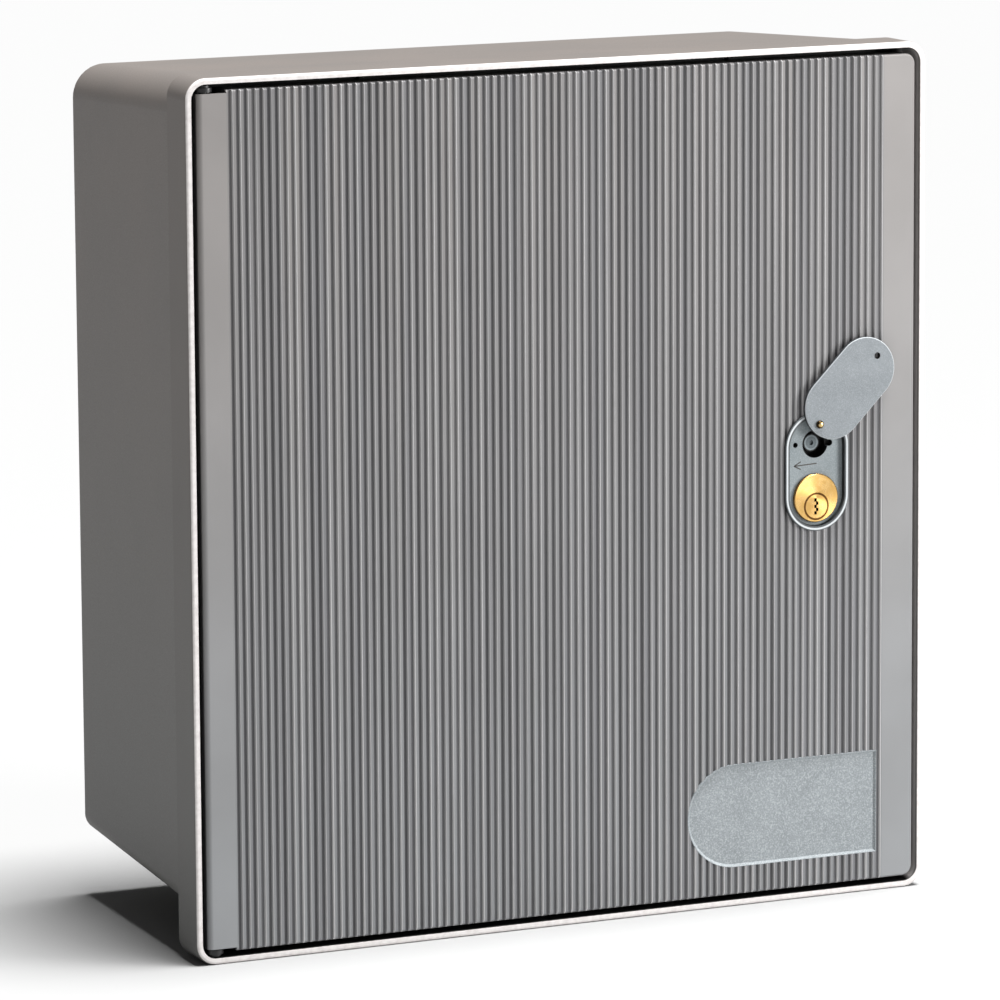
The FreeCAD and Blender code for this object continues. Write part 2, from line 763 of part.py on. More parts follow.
def corner_pad():
    """The raised seat of the lower hinge bracket, which follows the collar's rounded corner."""
    block = box("corner_block", ("0 - case_width / 2", "window_left"), ("drop_floor - 1", "flange_front"),
                ("collar_bottom", "body_bottom + wall"))
    outline = slab("corner_outline", ("collar_back", "front"), "0", "rim_middle", "case_width - rim_wall",
                   "case_height - rim_wall", "collar_corner - rim_wall / 2")
    seat = doc.addObject("Part::Common", "corner_pad")
    seat.Base = block
    seat.Tool = outline
    return seat


def stop_ribs():
    """Short ribs that the door's skirt closes against, above, below and on the lock side."""
    reach = "skirt_back - stop_gap"
    ribs = []
    for side, x in (("left", "0 - case_width / 4"), ("right", "case_width / 4")):
        span = (f"{x} - stop_rib", f"{x} + stop_rib")
        top = ("rim_middle + door_half_height - skirt_wall", "rim_middle + recess_half_height + rim_wall / 2")
        ribs.append(box(f"stop_top_{side}", span, ("flange_front - 1", reach), top))
        low = ("rim_middle - recess_half_height - rim_wall / 2", "rim_middle - door_half_height + skirt_wall")
        ribs.append(box(f"stop_low_{side}", span, ("drop_floor - 1", reach), low))
    depth = ("door_half_width - skirt_wall", "recess_half_width + rim_wall / 2")
    for side, z in (("upper", "case_height / 4"), ("lower", "0 - case_height / 4")):
        span = (f"rim_middle + {z} - stop_rib", f"rim_middle + {z} + stop_rib")
        ribs.append(box(f"stop_side_{side}", depth, ("flange_front - 1", reach), span))
    return ribs


def knockout_rings():
    """Thin grooves under the body that mark the cable knock-outs."""
    rings = []
    height = ("body_bottom - 1", "body_bottom + draw_per_depth * (collar_back - knockout_stand_off)"
              " + knockout_groove_depth")
    for index in (-1, 0, 1):
        x = f"{index} * knockout_spacing"
        outer = post(f"knockout_outer_{index + 1}", x, "knockout_stand_off", height, "knockout")
        inner = post(f"knockout_inner_{index + 1}", x, "knockout_stand_off", height,
                     "knockout - 2 * knockout_groove")
        rings.append(cut(f"knockout_{index + 1}", outer, [inner]))
    return rings


def mounting_plate():
    plate = slab("plate_blank", ("plate_stand_off", "plate_front"), "0", "0",
                 "plate_width", "plate_height", "plate_corner")
    removed = []
    for index, (x, z) in enumerate(corners("pillar_x", "pillar_z")):
        removed.append(rod(f"plate_hole_{index}", x, ("plate_stand_off - 1", "plate_front + 1"), z,
                           "plate_screw + 2 * running_fit"))
    for index, (x, z) in enumerate(corners("meter_slot_spread_x / 2", "meter_slot_spread_z / 2")):
        removed.append(level_slot(f"meter_slot_{index}", ("plate_stand_off - 1", "plate_front + 1"),
                                  x, z, "meter_slot_length", "meter_slot_width"))
    removed.append(box("cable_notch", ("0 - cable_notch_width / 2", "cable_notch_width / 2"),
                       ("plate_stand_off - 1", "plate_front + 1"),
                       ("0 - plate_height / 2 - 1", "cable_notch_height - plate_height / 2")))
    return finish(cut("mounting_plate", plate, removed), "mounting_plate")


def front_screw(name, x, z, seat, length, thread, head, head_height):
    """A pan-head screw driven from the front: its head stands on the seat."""
    return fuse(name, [rod(name + "_shank", x, (f"{seat} - ({length})", seat), z, thread),
                       rod(name + "_head", x, (seat, f"{seat} + {head_height}"), z, head)])


def back_screw(name, x, z, seat, length, thread, head, head_height):
    """A pan-head screw driven from behind: its head stands on the rear of the seat."""
    return fuse(name, [rod(name + "_shank", x, (seat, f"{seat} + ({length})"), z, thread),
                       rod(name + "_head", x, (f"{seat} - {head_height}", seat), z, head)])


def mounting_plate_screws():
    screws = []
    for index, (x, z) in enumerate(corners("pillar_x", "pillar_z")):
        screws.append(front_screw(f"plate_screw_{index}", x, z, "plate_front",
                                  "plate_thickness + plate_screw_bite",
                                  "plate_screw", "plate_screw_head", "plate_screw_head_height"))
    return finish(group("mounting_plate_screws", screws), "mounting_plate_screws")


# Hinge


def from_middle(sign, low, high):
    """Two heights at distances above the rim's middle, or below it where the sign is negative."""
    if sign < 0:
        return (f"rim_middle - ({high})", f"rim_middle - ({low})")
    return (f"rim_middle + ({low})", f"rim_middle + ({high})")


def hinge_bracket(side, sign):
    """An angle of sheet steel: a leaf that holds the pin and a plate screwed to the flange."""
    leaf_z = from_middle(sign, "leaf_low", "leaf_high")
    plate_z = from_middle(sign, "leaf_high - bracket_drop", "leaf_high")
    width = ("hinge_x - leaf_width / 2", "hinge_x + leaf_width / 2")
    blank = fuse(f"bracket_blank_{side}", [
        box(f"leaf_{side}", width, ("flange_front", "hinge_stand_off"), leaf_z),
        post(f"leaf_end_{side}", "hinge_x", "hinge_stand_off", leaf_z, "leaf_width"),
        box(f"bracket_plate_{side}", width, ("flange_front", "bracket_face"), plate_z)])
    places = hinge_screw_places()
    heights = places[:2] if sign > 0 else places[2:]
    removed = [post(f"pin_hole_{side}", "hinge_x", "hinge_stand_off",
                    (f"{leaf_z[0]} - 1", f"{leaf_z[1]} + 1"), "hinge_pin")]
    for index, z in enumerate(heights):
        removed.append(cone(f"countersink_{side}_{index}", "hinge_x", ("flange_front", "bracket_face"), z,
                            "bracket_screw", "bracket_screw_head"))
    return finish(cut(f"hinge_bracket_{side}", blank, removed), f"hinge_bracket_{side}")


def hinge_pin(side, sign):
    """A headed pin through the leaf into the door's barrel."""
    shank_z = from_middle(sign, "barrel_half - pin_depth", "leaf_high")
    head_z = from_middle(sign, "leaf_high", "leaf_high + pin_head_height")
    pin = fuse(f"hinge_pin_{side}", [
        post(f"pin_shank_{side}", "hinge_x", "hinge_stand_off", shank_z, "hinge_pin"),
        post(f"pin_head_{side}", "hinge_x", "hinge_stand_off", head_z, "pin_head")])
    return finish(pin, f"hinge_pin_{side}")


def hinge_washer():
    """The washer that the door's barrel rests on."""
    height = ("rim_middle - (leaf_low)", "rim_middle - barrel_half - washer_play")
    disc = post("washer_disc", "hinge_x", "hinge_stand_off", height, "leaf_width - 1")
    bore = post("washer_bore", "hinge_x", "hinge_stand_off", (f"{height[0]} - 1", f"{height[1]} + 1"),
                "hinge_pin + 2 * hinge_pin_fit")
    return finish(cut("hinge_washer", disc, [bore]), "hinge_washer")


def hinge_screws():
    screws = []
    for index, z in enumerate(hinge_screw_places()):
        shank = rod(f"bracket_screw_shank_{index}", "hinge_x",
                    ("flange_front - bracket_screw_bite", "flange_front"), z, "bracket_screw")
        head = cone(f"bracket_screw_cone_{index}", "hinge_x", ("flange_front", "bracket_face"), z,
                    "bracket_screw", "bracket_screw_head")
        screws.append(fuse(f"bracket_screw_{index}", [shank, head]))
    return finish(group("hinge_screws", screws), "hinge_screws")


def mitre(name, x, z, angle):
    """A thin cutter from a corner of the seal's inside, outwards at an angle in degrees."""
    piece = doc.addObject("Part::Box", name)
    bind(piece, Length="4 * (seal_lip + 2 * seal_cover)", Width="panel_back - skirt_back", Height="mitre_gap")
    piece.Placement = Placement(Vector(), Rotation(Vector(0, 1, 0), -angle))
    set_place(piece, x, "panel_back", z)
    return piece


def door_seal():
    """Four lengths of rubber channel, mitred at the corners and pushed over the case's lip."""
    outer = slab("seal_outer", ("seal_lip_front - seal_grip", "panel_back - stop_gap"),
                 "window_x", "window_z", "window_width + 2 * seal_lip + 2 * seal_cover",
                 "window_height + 2 * seal_lip + 2 * seal_cover", "window_corner + seal_lip + seal_cover")
    left, right = "window_left + seal_cover", "window_right - seal_cover"
    low, high = "window_bottom + seal_cover", "window_top - seal_cover"
    inside = box("seal_inside", (left, right), ("skirt_back", "panel_back"), (low, high))
    lip = slab("seal_slot", ("seal_lip_front - seal_grip - 1", "seal_lip_front"), "window_x", "window_z",
               "window_width + 2 * seal_lip", "window_height + 2 * seal_lip", "window_corner + seal_lip",
               ("window_width", "window_height", "window_corner"))
    removed = [inside, lip]
    for index, (x, z, angle) in enumerate([(right, high, 45), (left, high, 135),
                                           (left, low, 225), (right, low, 315)]):
        removed.append(mitre(f"seal_mitre_{index}", x, z, angle))
    return finish(cut("door_seal", outer, removed), "door_seal")


# Door


def door_moulding():
    """The ribbed panel with its skirt, the bare pad's recess and the opening for the lock plate."""
    body = new_body("door_moulding")
    middle = "(door_half_width + ribs_left) / 2"
    reach = "door_half_width - (ribs_left) + 2 * door_corner"
    outline = front_sketch(body, "door_outline", "skirt_back", f"{middle} - door_corner", "rim_middle")
    draw_rounded_rectangle(outline, "", reach, "2 * door_half_height", "door_corner")
    block = pad(body, "door_block", outline, "skirt_depth")
    bevel_edges(body, "door_edges", block, "door_chamfer", lies_at("front"))

    hollow = front_sketch(body, "hollow_outline", "skirt_back", f"{middle} - door_corner", "rim_middle")
    draw_rounded_rectangle(hollow, "", f"{reach} - 2 * skirt_wall", "2 * door_half_height - 2 * skirt_wall",
                           "door_corner - skirt_wall / 2")
    inside = pocket(body, "door_hollow", hollow, "skirt_depth - door_thickness")
    inside.Reversed = True

    opening = front_sketch(body, "lock_opening_outline", "front", "lock_x", "lock_z")
    draw_slot(opening, "", "neck_width + 2 * neck_fit", "neck_height + 2 * neck_fit")
    pocket(body, "lock_opening", opening, "door_thickness")

    profile = level_sketch(body, "groove_profile", "rim_middle + door_half_height",
                           "ribs_left + groove_pitch / 2", "front")
    draw_taper(profile, "", "groove_mouth", "groove_floor", "groove_depth")
    groove = pocket(body, "groove", profile, "2 * door_half_height")
    row(body, "ribs", groove, "H_Axis", "groove_pitch * (groove_count - 1)", "groove_count")
    return body


def hinge_bead():
    """The rounded bead along the door's left edge that turns on the hinge pins."""
    body = new_body("hinge_bead")
    outline = level_sketch(body, "bead_outline", "rim_middle - barrel_half", "hinge_x", "hinge_stand_off")
    draw_rounded_rectangle(outline, "", "2 * door_barrel", "2 * door_barrel", "bead_round")
    pad(body, "bead", outline, "2 * barrel_half")
    return body


def door_panel():
    panel = cut("panel_trimmed", door_moulding(), [
        box("hinge_side_trim", ("0 - case_width", "ribs_left"), ("skirt_back - 1", "front + 1"),
            ("collar_bottom", "collar_top")),
        slot_pad_cutter()])
    added = [panel, hinge_bead(),
             box("hinge_band", ("hinge_x", "ribs_left"), ("panel_back", "front"),
                 ("rim_middle - barrel_half", "rim_middle + barrel_half"))]
    stiff = ("panel_back - stiffener_height", "panel_back + groove_depth")
    left, right = ("window_left + 3 * seal_lip", "lock_x - 2 * escutcheon_width")
    for index in (-1, 0, 1):
        z = f"rim_middle + {index} * stiffener_spacing"
        added.append(box(f"stiffener_{index + 1}", (left, right), stiff,
                         (f"{z} - stiffener / 2", f"{z} + stiffener / 2")))
    for index, x in enumerate((left, right)):
        added.append(box(f"upright_stiffener_{index}", (f"{x} - stiffener", x), stiff,
                         ("rim_middle - stiffener_spacing - stiffener_overhang",
                          "rim_middle + stiffener_spacing + stiffener_overhang")))
    for side, x, z in guide_places():
        for index, sign in enumerate(("-", "+")):
            added.append(rod(f"guide_boss_{side}_{index}", f"{x} {sign} guide_screw_spread / 2",
                             ("guide_seat", "panel_back + groove_depth"), z, "guide_boss"))
    whole = fuse("door_with_bosses", added)

    removed = []
    for side, sign in (("upper", 1), ("lower", -1)):
        span = from_middle(sign, "barrel_half - pin_depth - pin_tip_room", "barrel_half + 1")
        removed.append(post(f"barrel_bore_{side}", "hinge_x", "hinge_stand_off", span,
                            "hinge_pin + 2 * hinge_pin_fit"))
    for side, x, z in guide_places():
        for index, sign in enumerate(("-", "+")):
            removed.append(rod(f"guide_bore_{side}_{index}", f"{x} {sign} guide_screw_spread / 2",
                               ("guide_seat - 1", "guide_seat + guide_screw_bite + screw_tip_room"), z,
                               "guide_screw"))
    return finish(cut("door_panel", whole, removed), "door_panel")


def slot_pad_cutter():
    """The recess of the bare pad: straight on the right, half round on the left."""
    span = ("front - pad_depth", "front + 1")
    round_x = "pad_left + pad_height / 2"
    middle = "pad_bottom + pad_height / 2"
    return fuse("pad_cutter", [
        box("pad_straight", (round_x, "pad_right"), span, ("pad_bottom", "pad_top")),
        rod("pad_round", round_x, span, middle, "pad_height")])


# Lock plate and swinging cover


def lock_escutcheon():
    """The oval plate: raised rim, recessed floor, neck through the door and the boss for the rivet."""
    added = [slot_slab("escutcheon_flange", ("front", "rim_face"), "lock_x", "lock_z",
                       "escutcheon_width", "escutcheon_height", "rim_round"),
             slot_slab("escutcheon_neck", ("lock_case_front", "front + rim_stand / 2"), "lock_x", "lock_z",
                       "neck_width", "neck_height")]
    hollow = slot_slab("escutcheon_recess", ("lock_floor", "rim_face + 1"), "lock_x", "lock_z",
                       "recess_width", "recess_height")
    dished = cut("escutcheon_dished", fuse("escutcheon_blank", added), [hollow])
    boss = rod("rivet_boss", "lock_x", ("lock_floor - 1", "rim_face"), "rivet_z", "rivet_boss")
    through = ("lock_case_front - 1", "rim_face + 1")
    tab_end = "key_hole / 2 + key_tab_reach"
    removed = [rod("key_hole", "lock_x", through, "spindle_z", "key_hole"),
               box("key_tab", ("lock_x", f"lock_x + {tab_end}"), through,
                   ("spindle_z - key_tab / 2", "spindle_z + key_tab / 2")),
               rod("key_tab_end", f"lock_x + {tab_end}", through, "spindle_z", "key_tab"),
               rod("cylinder_hole", "lock_x", through, "cylinder_z", "cylinder_barrel + 2 * cylinder_fit"),
               rod("seal_hole", "lock_x - seal_hole_offset", through, "spindle_z", "seal_hole"),
               rod("rivet_hole", "lock_x", through, "rivet_z", "rivet_shank")]
    for index, sign in enumerate(("-", "+")):
        removed.append(rod(f"escutcheon_bore_{index}", f"lock_x {sign} escutcheon_screw_x",
                           ("lock_case_front - 1",
                            "lock_case_front + escutcheon_screw_bite + screw_tip_room"),
                           "lock_z + escutcheon_screw_z", "escutcheon_screw"))
    return finish(cut("lock_escutcheon", fuse("escutcheon_with_boss", [dished, boss]), removed),
                  "lock_escutcheon")


def lock_cover():
    """The swinging cover, drawn open: it points up to the right from its rivet."""
    plate = slot_slab("cover_plate", ("cover_back", "cover_front"), "0", "rivet_offset",
                      "cover_width", "cover_length", "cover_round")
    through = ("cover_back - 1", "cover_front + 1")
    holes = [rod("cover_rivet_hole", "0", through, "0", "rivet_shank + 2 * rivet_fit"),
             rod("cover_seal_hole", "0", through, "cover_hole_distance", "cover_hole")]
    cover = cut("lock_cover", plate, holes)
    cover.Placement = Placement(Vector(), Rotation(Vector(0, 1, 0), value("90 - cover_open_angle")))
    set_place(cover, "lock_x", "0", "rivet_z")
    return finish(cover, "lock_cover")


def cover_rivet():
    """A rivet with a domed head over the cover and a shank into the boss."""
    shank = rod("rivet_shank", "lock_x", ("lock_case_front", "cover_front + running_fit"), "rivet_z",
                "rivet_shank")
    rim = rod("rivet_edge", "lock_x", ("cover_front + running_fit", "cover_front + rivet_rim"), "rivet_z",
              "rivet_head")
    dome = doc.addObject("Part::Ellipsoid", "rivet_cap")
    dome.Angle1 = 0
    bind(dome, Radius1="rivet_dome", Radius2="rivet_head / 2", Radius3="rivet_head / 2")
    dome.Placement = Placement(Vector(), Rotation(Vector(1, 0, 0), 90))
    set_place(dome, "lock_x", "cover_front + rivet_rim", "rivet_z")
    return finish(fuse("cover_rivet", [shank, rim, dome]), "cover_rivet")


# Cylinder


def across(left, right):
    """A pair of x values measured from the lock's centre line."""
    return (f"lock_x + ({left})", f"lock_x + ({right})")


def cylinder_body():
    """The brass cylinder: round head and barrel, with an off-centre bore for the plug."""
    blank = fuse("cylinder_blank", [
        rod("cylinder_disc", "lock_x", ("lock_floor", "head_front - head_bevel"), "cylinder_z",
            "cylinder_head"),
        cone("cylinder_bevel", "lock_x", ("head_front - head_bevel", "head_front"), "cylinder_z",
             "cylinder_head", "cylinder_head - 2 * head_bevel"),
        rod("cylinder_shank", "lock_x", ("cam_front + cam_gap", "lock_floor"), "cylinder_z",
            "cylinder_barrel")])
    bores = [rod("plug_collar_bore", "lock_x", ("lock_floor", "head_front + 1"), "plug_z",
                 "plug_collar + 2 * plug_fit"),
             rod("plug_bore", "lock_x", ("cam_front - 1", "head_front + 1"), "plug_z",
                 "plug_shaft + 2 * plug_fit")]
    return finish(cut("cylinder_body", blank, bores), "cylinder_body")


def key_plug():
    """The turning plug: front collar, shaft and a stepped keyway."""
    blank = fuse("plug_blank", [
        rod("plug_collar", "lock_x", ("lock_floor + plug_fit", "head_front"), "plug_z", "plug_collar"),
        rod("plug_shaft", "lock_x", ("cam_front", "lock_floor + plug_fit"), "plug_z", "plug_shaft")])
    removed = [rod("plug_screw_bore", "lock_x",
                   ("cam_back - 1", "cam_front + cam_screw_bite + screw_tip_room"), "plug_z", "cam_screw")]
    step = "keyway_height / keyway_steps"
    for index in range(int(value("keyway_steps"))):
        middle = "0 + keyway_shift" if index % 2 else "0 - keyway_shift"
        low = f"plug_z - keyway_height / 2 + {index} * {step}"
        removed.append(box(f"keyway_{index}",
                           across(f"{middle} - keyway_width / 2", f"{middle} + keyway_width / 2"),
                           ("head_front - keyway_depth", "head_front + 1"), (low, f"{low} + {step}")))
    return finish(cut("key_plug", blank, removed), "key_plug")


def plug_cam():
    """The arm that the key turns: it points up when unlocked and to the right when locked."""
    span = ("cam_back", "cam_front")
    arm = fuse("cam_blank", [
        rod("cam_hub", "lock_x", span, "plug_z", "plug_shaft"),
        box("cam_arm", ("lock_x - cam_width / 2", "lock_x + cam_width / 2"), span,
            ("plug_z", "plug_z + cam_reach + cam_width"))])
    reach = doc.addObject("Part::Common", "cam_shape")
    reach.Base = arm
    reach.Tool = rod("cam_limit", "lock_x", span, "plug_z", "2 * cam_reach")
    bore = rod("cam_bore", "lock_x", ("cam_back - 1", "cam_front + 1"), "plug_z", "cam_screw")
    return finish(cut("plug_cam", reach, [bore]), "plug_cam")


def plug_cam_screw():
    screw = back_screw("plug_cam_screw", "lock_x", "plug_z", "cam_back", "cam_thickness + cam_screw_bite",
                       "cam_screw", "cam_screw_head", "cam_screw_head_height")
    return finish(screw, "plug_cam_screw")


def cylinder_nut():
    """The hexagon nut that clamps the cylinder to the lock case."""
    hexagon = doc.addObject("Part::Prism", "nut_hexagon")
    hexagon.Polygon = 6
    bind(hexagon, Circumradius="nut_flats / sqrt(3)", Height="nut_thickness")
    hexagon.Placement = Placement(Vector(), Rotation(Vector(1, 0, 0), -90))
    set_place(hexagon, "lock_x", "lock_bay_front", "cylinder_z")
    bore = rod("nut_bore", "lock_x", ("lock_bay_front - nut_thickness - 1", "lock_bay_front + 1"),
               "cylinder_z", "cylinder_barrel")
    return finish(cut("cylinder_nut", hexagon, [bore]), "cylinder_nut")


# Lock case


def lug_places():
    return [(f"lock_x {sign} (lug_x)", z) for sign in "-+" for z in ("lug_low", "lug_top")]


def lock_case():
    """The cast case, open behind: side decks carry the rods, and a boss carries the spindle."""
    outer = [box("lock_case_block", across("0 - lock_half_width", "lock_half_width"),
                 ("lock_case_back", "lock_case_front"), ("lock_case_low", "lock_case_top"))]
    for index, (x, z) in enumerate(lug_places()):
        outer.append(rod(f"case_lug_{index}", x, ("lock_case_back", "lock_case_back + lock_lug_depth"), z,
                         "lock_lug"))
    inside = ("lock_case_low + lock_case_wall", "lock_case_top - lock_case_wall")
    room = "rod_outer + rod_guide_clearance"
    hollow = cut("lock_case_hollow", fuse("lock_case_blank", outer), [
        box("rod_bay", across(f"0 - ({room})", room), ("lock_case_back - 1", "deck"), inside),
        box("lock_bay", across("0 - lock_bay_width / 2", "lock_bay_width / 2"),
            ("lock_case_back - 1", "lock_bay_front"), inside)])
    boss = rod("spindle_boss", "lock_x", ("deck", "lock_bay_front + 1"), "spindle_z", "spindle_boss")
    removed = rod_slots()
    removed += [rod("spindle_cup", "lock_x", ("post_back", "lock_case_front + 1"), "spindle_z", "key_hole"),
                rod("spindle_bore", "lock_x", ("deck - 1", "lock_case_front"), "spindle_z",
                    "spindle_bearing + 2 * running_fit"),
                rod("barrel_hole", "lock_x", ("lock_bay_front - 1", "lock_case_front + 1"), "cylinder_z",
                    "cylinder_barrel + 2 * cylinder_fit")]
    for index, sign in enumerate(("-", "+")):
        removed.append(rod(f"case_screw_hole_{index}", f"lock_x {sign} escutcheon_screw_x",
                           ("lock_bay_front - 1", "lock_case_front + 1"), "lock_z + escutcheon_screw_z",
                           "escutcheon_screw"))
    for index, (x, z) in enumerate(lug_places()):
        removed.append(rod(f"lug_bore_{index}", x,
                           ("lock_case_back - 1", "lock_case_back + lock_case_screw_bite + screw_tip_room"),
                           z, "lock_case_screw"))
    return finish(cut("lock_case", fuse("lock_case_with_boss", [hollow, boss]), removed), "lock_case")


def rod_slots():
    """Openings in the end walls for the rods: both at the top, the right one below."""
    span = ("lock_case_back - 1", "deck")
    top = ("lock_z", "lock_case_top + 1")
    low = ("lock_case_low - 1", "lock_z")
    inner, outer = ("rod_inner - rod_guide_clearance", "rod_outer + rod_guide_clearance")
    return [box("slot_top_left", across(f"0 - ({outer})", f"0 - ({inner})"), span, top),
            box("slot_top_right", across(inner, outer), span, top),
            box("slot_low_right", across(inner, outer), span, low)]


def lock_case_cover():
    """The flat plate that closes the lock case and carries the spindle's rear journal."""
    span = ("lock_cover_back", "lock_case_back")
    blank = [slab("case_cover_plate", span, "lock_x", "(lock_case_top + lock_case_low) / 2",
                  "2 * (lock_half_width)", "lock_case_top - (lock_case_low)", "lock_case_wall")]
    for index, (x, z) in enumerate(lug_places()):
        blank.append(rod(f"cover_ear_{index}", x, span, z, "lock_lug"))
    through = ("lock_cover_back - 1", "lock_case_back + 1")
    removed = [rod("journal_hole", "lock_x", through, "spindle_z", "spindle_journal + 2 * running_fit")]
    for index, (x, z) in enumerate(lug_places()):
        removed.append(rod(f"ear_hole_{index}", x, through, z, "lock_case_screw"))
    return finish(cut("lock_case_cover", fuse("case_cover_blank", blank), removed), "lock_case_cover")


def lock_case_screws():
    screws = []
    for index, (x, z) in enumerate(lug_places()):
        screws.append(back_screw(f"lock_case_screw_{index}", x, z, "lock_cover_back",
                                 "lock_cover_gauge + lock_case_screw_bite",
                                 "lock_case_screw", "lock_case_screw_head", "screw_head_height"))
    return finish(group("lock_case_screws", screws), "lock_case_screws")


def escutcheon_screws():
    screws = []
    for index, sign in enumerate(("-", "+")):
        screws.append(back_screw(f"escutcheon_screw_{index}", f"lock_x {sign} escutcheon_screw_x",
                                 "lock_z + escutcheon_screw_z", "lock_bay_front",
                                 "lock_case_floor + escutcheon_screw_bite",
                                 "escutcheon_screw", "small_screw_head", "screw_head_height"))
    return finish(group("escutcheon_screws", screws), "escutcheon_screws")


# Spindle, pinion and rods


def drive_spindle():
    """The turning post: key end, bearing, square for the pinion and rear journal."""
    half = "spindle_square / 2"
    blank = [rod("key_post", "lock_x", ("post_back", "post_front"), "spindle_z", "spindle_post"),
             rod("bearing", "lock_x", ("deck", "post_back"), "spindle_z", "spindle_bearing"),
             box("square", across(f"0 - {half}", half), ("lock_case_back", "deck"),
                 (f"spindle_z - {half}", f"spindle_z + {half}")),
             rod("journal", "lock_x", ("lock_cover_back", "lock_case_back"), "spindle_z", "spindle_journal")]
    dimple = rod("spindle_dimple", "lock_x", ("post_front - post_dimple_depth", "post_front + 1"),
                 "spindle_z", "post_dimple")
    return finish(cut("drive_spindle", fuse("spindle_blank", blank), [dimple]), "drive_spindle")


def involute_flank(base_radius, start_radius, end_radius, half_angle_at_base):
    """Points along one involute flank of a tooth about the angle zero."""
    points = []
    steps = 6
    for step in range(steps + 1):
        radius = start_radius + (end_radius - start_radius) * step / steps
        roll = math.sqrt(max((radius / base_radius) ** 2 - 1, 0))
        angle = half_angle_at_base - (roll - math.atan(roll))
        points.append(Vector(radius * math.cos(angle), radius * math.sin(angle), 0))
    return points


def pinion_outline():
    """The outline of the toothed wheel, tooth by tooth, with one tooth on the X axis."""
    module = value("tooth_module")
    teeth = int(value("tooth_count"))
    pitch_radius = value("pitch_radius")
    base_radius = pitch_radius * math.cos(math.radians(PRESSURE_ANGLE))
    tip_radius = pitch_radius + ADDENDUM * module
    root_radius = pitch_radius - DEDENDUM * module
    roll = math.tan(math.radians(PRESSURE_ANGLE))
    involute = roll - math.radians(PRESSURE_ANGLE)
    half_tooth = math.pi / (2 * teeth) - value("tooth_backlash") / (2 * pitch_radius)
    half_base = half_tooth + involute
    flank = involute_flank(base_radius, base_radius, tip_radius, half_base)
    root = Vector(root_radius * math.cos(half_base), root_radius * math.sin(half_base), 0)
    mirrored = [Vector(point.x, -point.y, 0) for point in flank]
    low_root = Vector(root.x, -root.y, 0)
    edges = []
    for tooth in range(teeth):
        turn = Rotation(Vector(0, 0, 1), 360.0 * tooth / teeth)
        following = Rotation(Vector(0, 0, 1), 360.0 * (tooth + 1) / teeth)
        rising = [turn.multVec(point) for point in mirrored]
        falling = [turn.multVec(point) for point in flank]
        crest = turn.multVec(Vector(tip_radius, 0, 0))
        valley_angle = math.radians(360.0 * (tooth + 0.5) / teeth)
        valley = Vector(root_radius * math.cos(valley_angle), root_radius * math.sin(valley_angle), 0)
        up = Part.BSplineCurve()
        up.interpolate(rising)
        down = Part.BSplineCurve()
        down.interpolate(list(reversed(falling)))
        edges += [Part.makeLine(turn.multVec(low_root), rising[0]), up.toShape(),
                  Part.Arc(rising[-1], crest, falling[-1]).toShape(), down.toShape(),
                  Part.makeLine(falling[0], turn.multVec(root)),
                  Part.Arc(turn.multVec(root), valley, following.multVec(low_root)).toShape()]
    return Part.Wire(edges)


def spindle_pinion():
    """The toothed wheel that moves both rods."""
    wheel = Part.Face(pinion_outline()).extrude(Vector(0, 0, value("rod_thickness")))
    side = value("spindle_square + 2 * running_fit")
    square = Part.makeBox(side, side, 3 * value("rod_thickness"),
                          Vector(-side / 2, -side / 2, -value("rod_thickness")))
    pinion = doc.addObject("Part::Feature", "spindle_pinion")
    pinion.Shape = wheel.cut(square)
    pinion.Placement = Placement(Vector(value("lock_x"), -value("rod_back"), value("spindle_z")),
                                 Rotation(Vector(1, 0, 0), 90))
    return finish(pinion, "spindle_pinion")


def rack_rod(name, x_sign, z_span, first_gap, slope):
    """A flat bar with rack teeth on its inner edge, as a body of its own."""
    body = new_body(name + "_bar")
    x = f"lock_x {x_sign} (rod_middle)"
    outline = front_sketch(body, name + "_outline", "rod_back", x, f"({z_span[0]} + {z_span[1]}) / 2")
    draw_rounded_rectangle(outline, "", "rod_width", f"({z_span[1]}) - ({z_span[0]})", "rod_lead")
    pad(body, name + "_pad", outline, "rod_thickness")
    profile = front_sketch(body, name + "_gap", "rod_front", f"lock_x {x_sign} (rod_inner)", first_gap)
    profile.AttachmentOffset = Placement(profile.AttachmentOffset.Base, Rotation(Vector(0, 0, 1), slope))
    draw_taper(profile, "", "rack_gap_mouth", "rack_gap_floor", "rack_gap_depth")
    gap = pocket(body, name + "_tooth_gap", profile, "rod_thickness")
    row(body, name + "_rack", gap, "H_Axis", "rack_pitch * (rack_gaps - 1)", "rack_gaps")
    return body


def rod_upper():
    """The left bar, which the spindle drives up."""
    low = "spindle_z - (rack_reach - rack_end)"
    first = "spindle_z - (rack_reach - rack_pitch)"
    bar = rack_rod("rod_upper", "-", (low, "rod_top"), first, 90)
    return finish(bar, "rod_upper")


def rod_lower():
    """The right bar, which the spindle drives down, with the lug that the cam holds."""
    high = "spindle_z + (rack_reach - rack_end)"
    first = "spindle_z + (rack_reach - rack_pitch)"
    bar = rack_rod("rod_lower", "+", ("rod_bottom", high), first, -90)
    top = "plug_z - cam_width / 2 - lug_cam_gap + rod_travel"
    lug = box("rod_lug", across("rod_inner - lug_reach", "rod_inner + rod_width / 2"),
              ("rod_back", "rod_front"), (f"{top} - lug_height", top))
    return finish(fuse("rod_lower", [bar, lug]), "rod_lower")


def guide_places():
    return [("upper", "lock_x - (rod_middle)", "upper_guide_z"),
            ("lower", "lock_x + (rod_middle)", "lower_guide_z")]


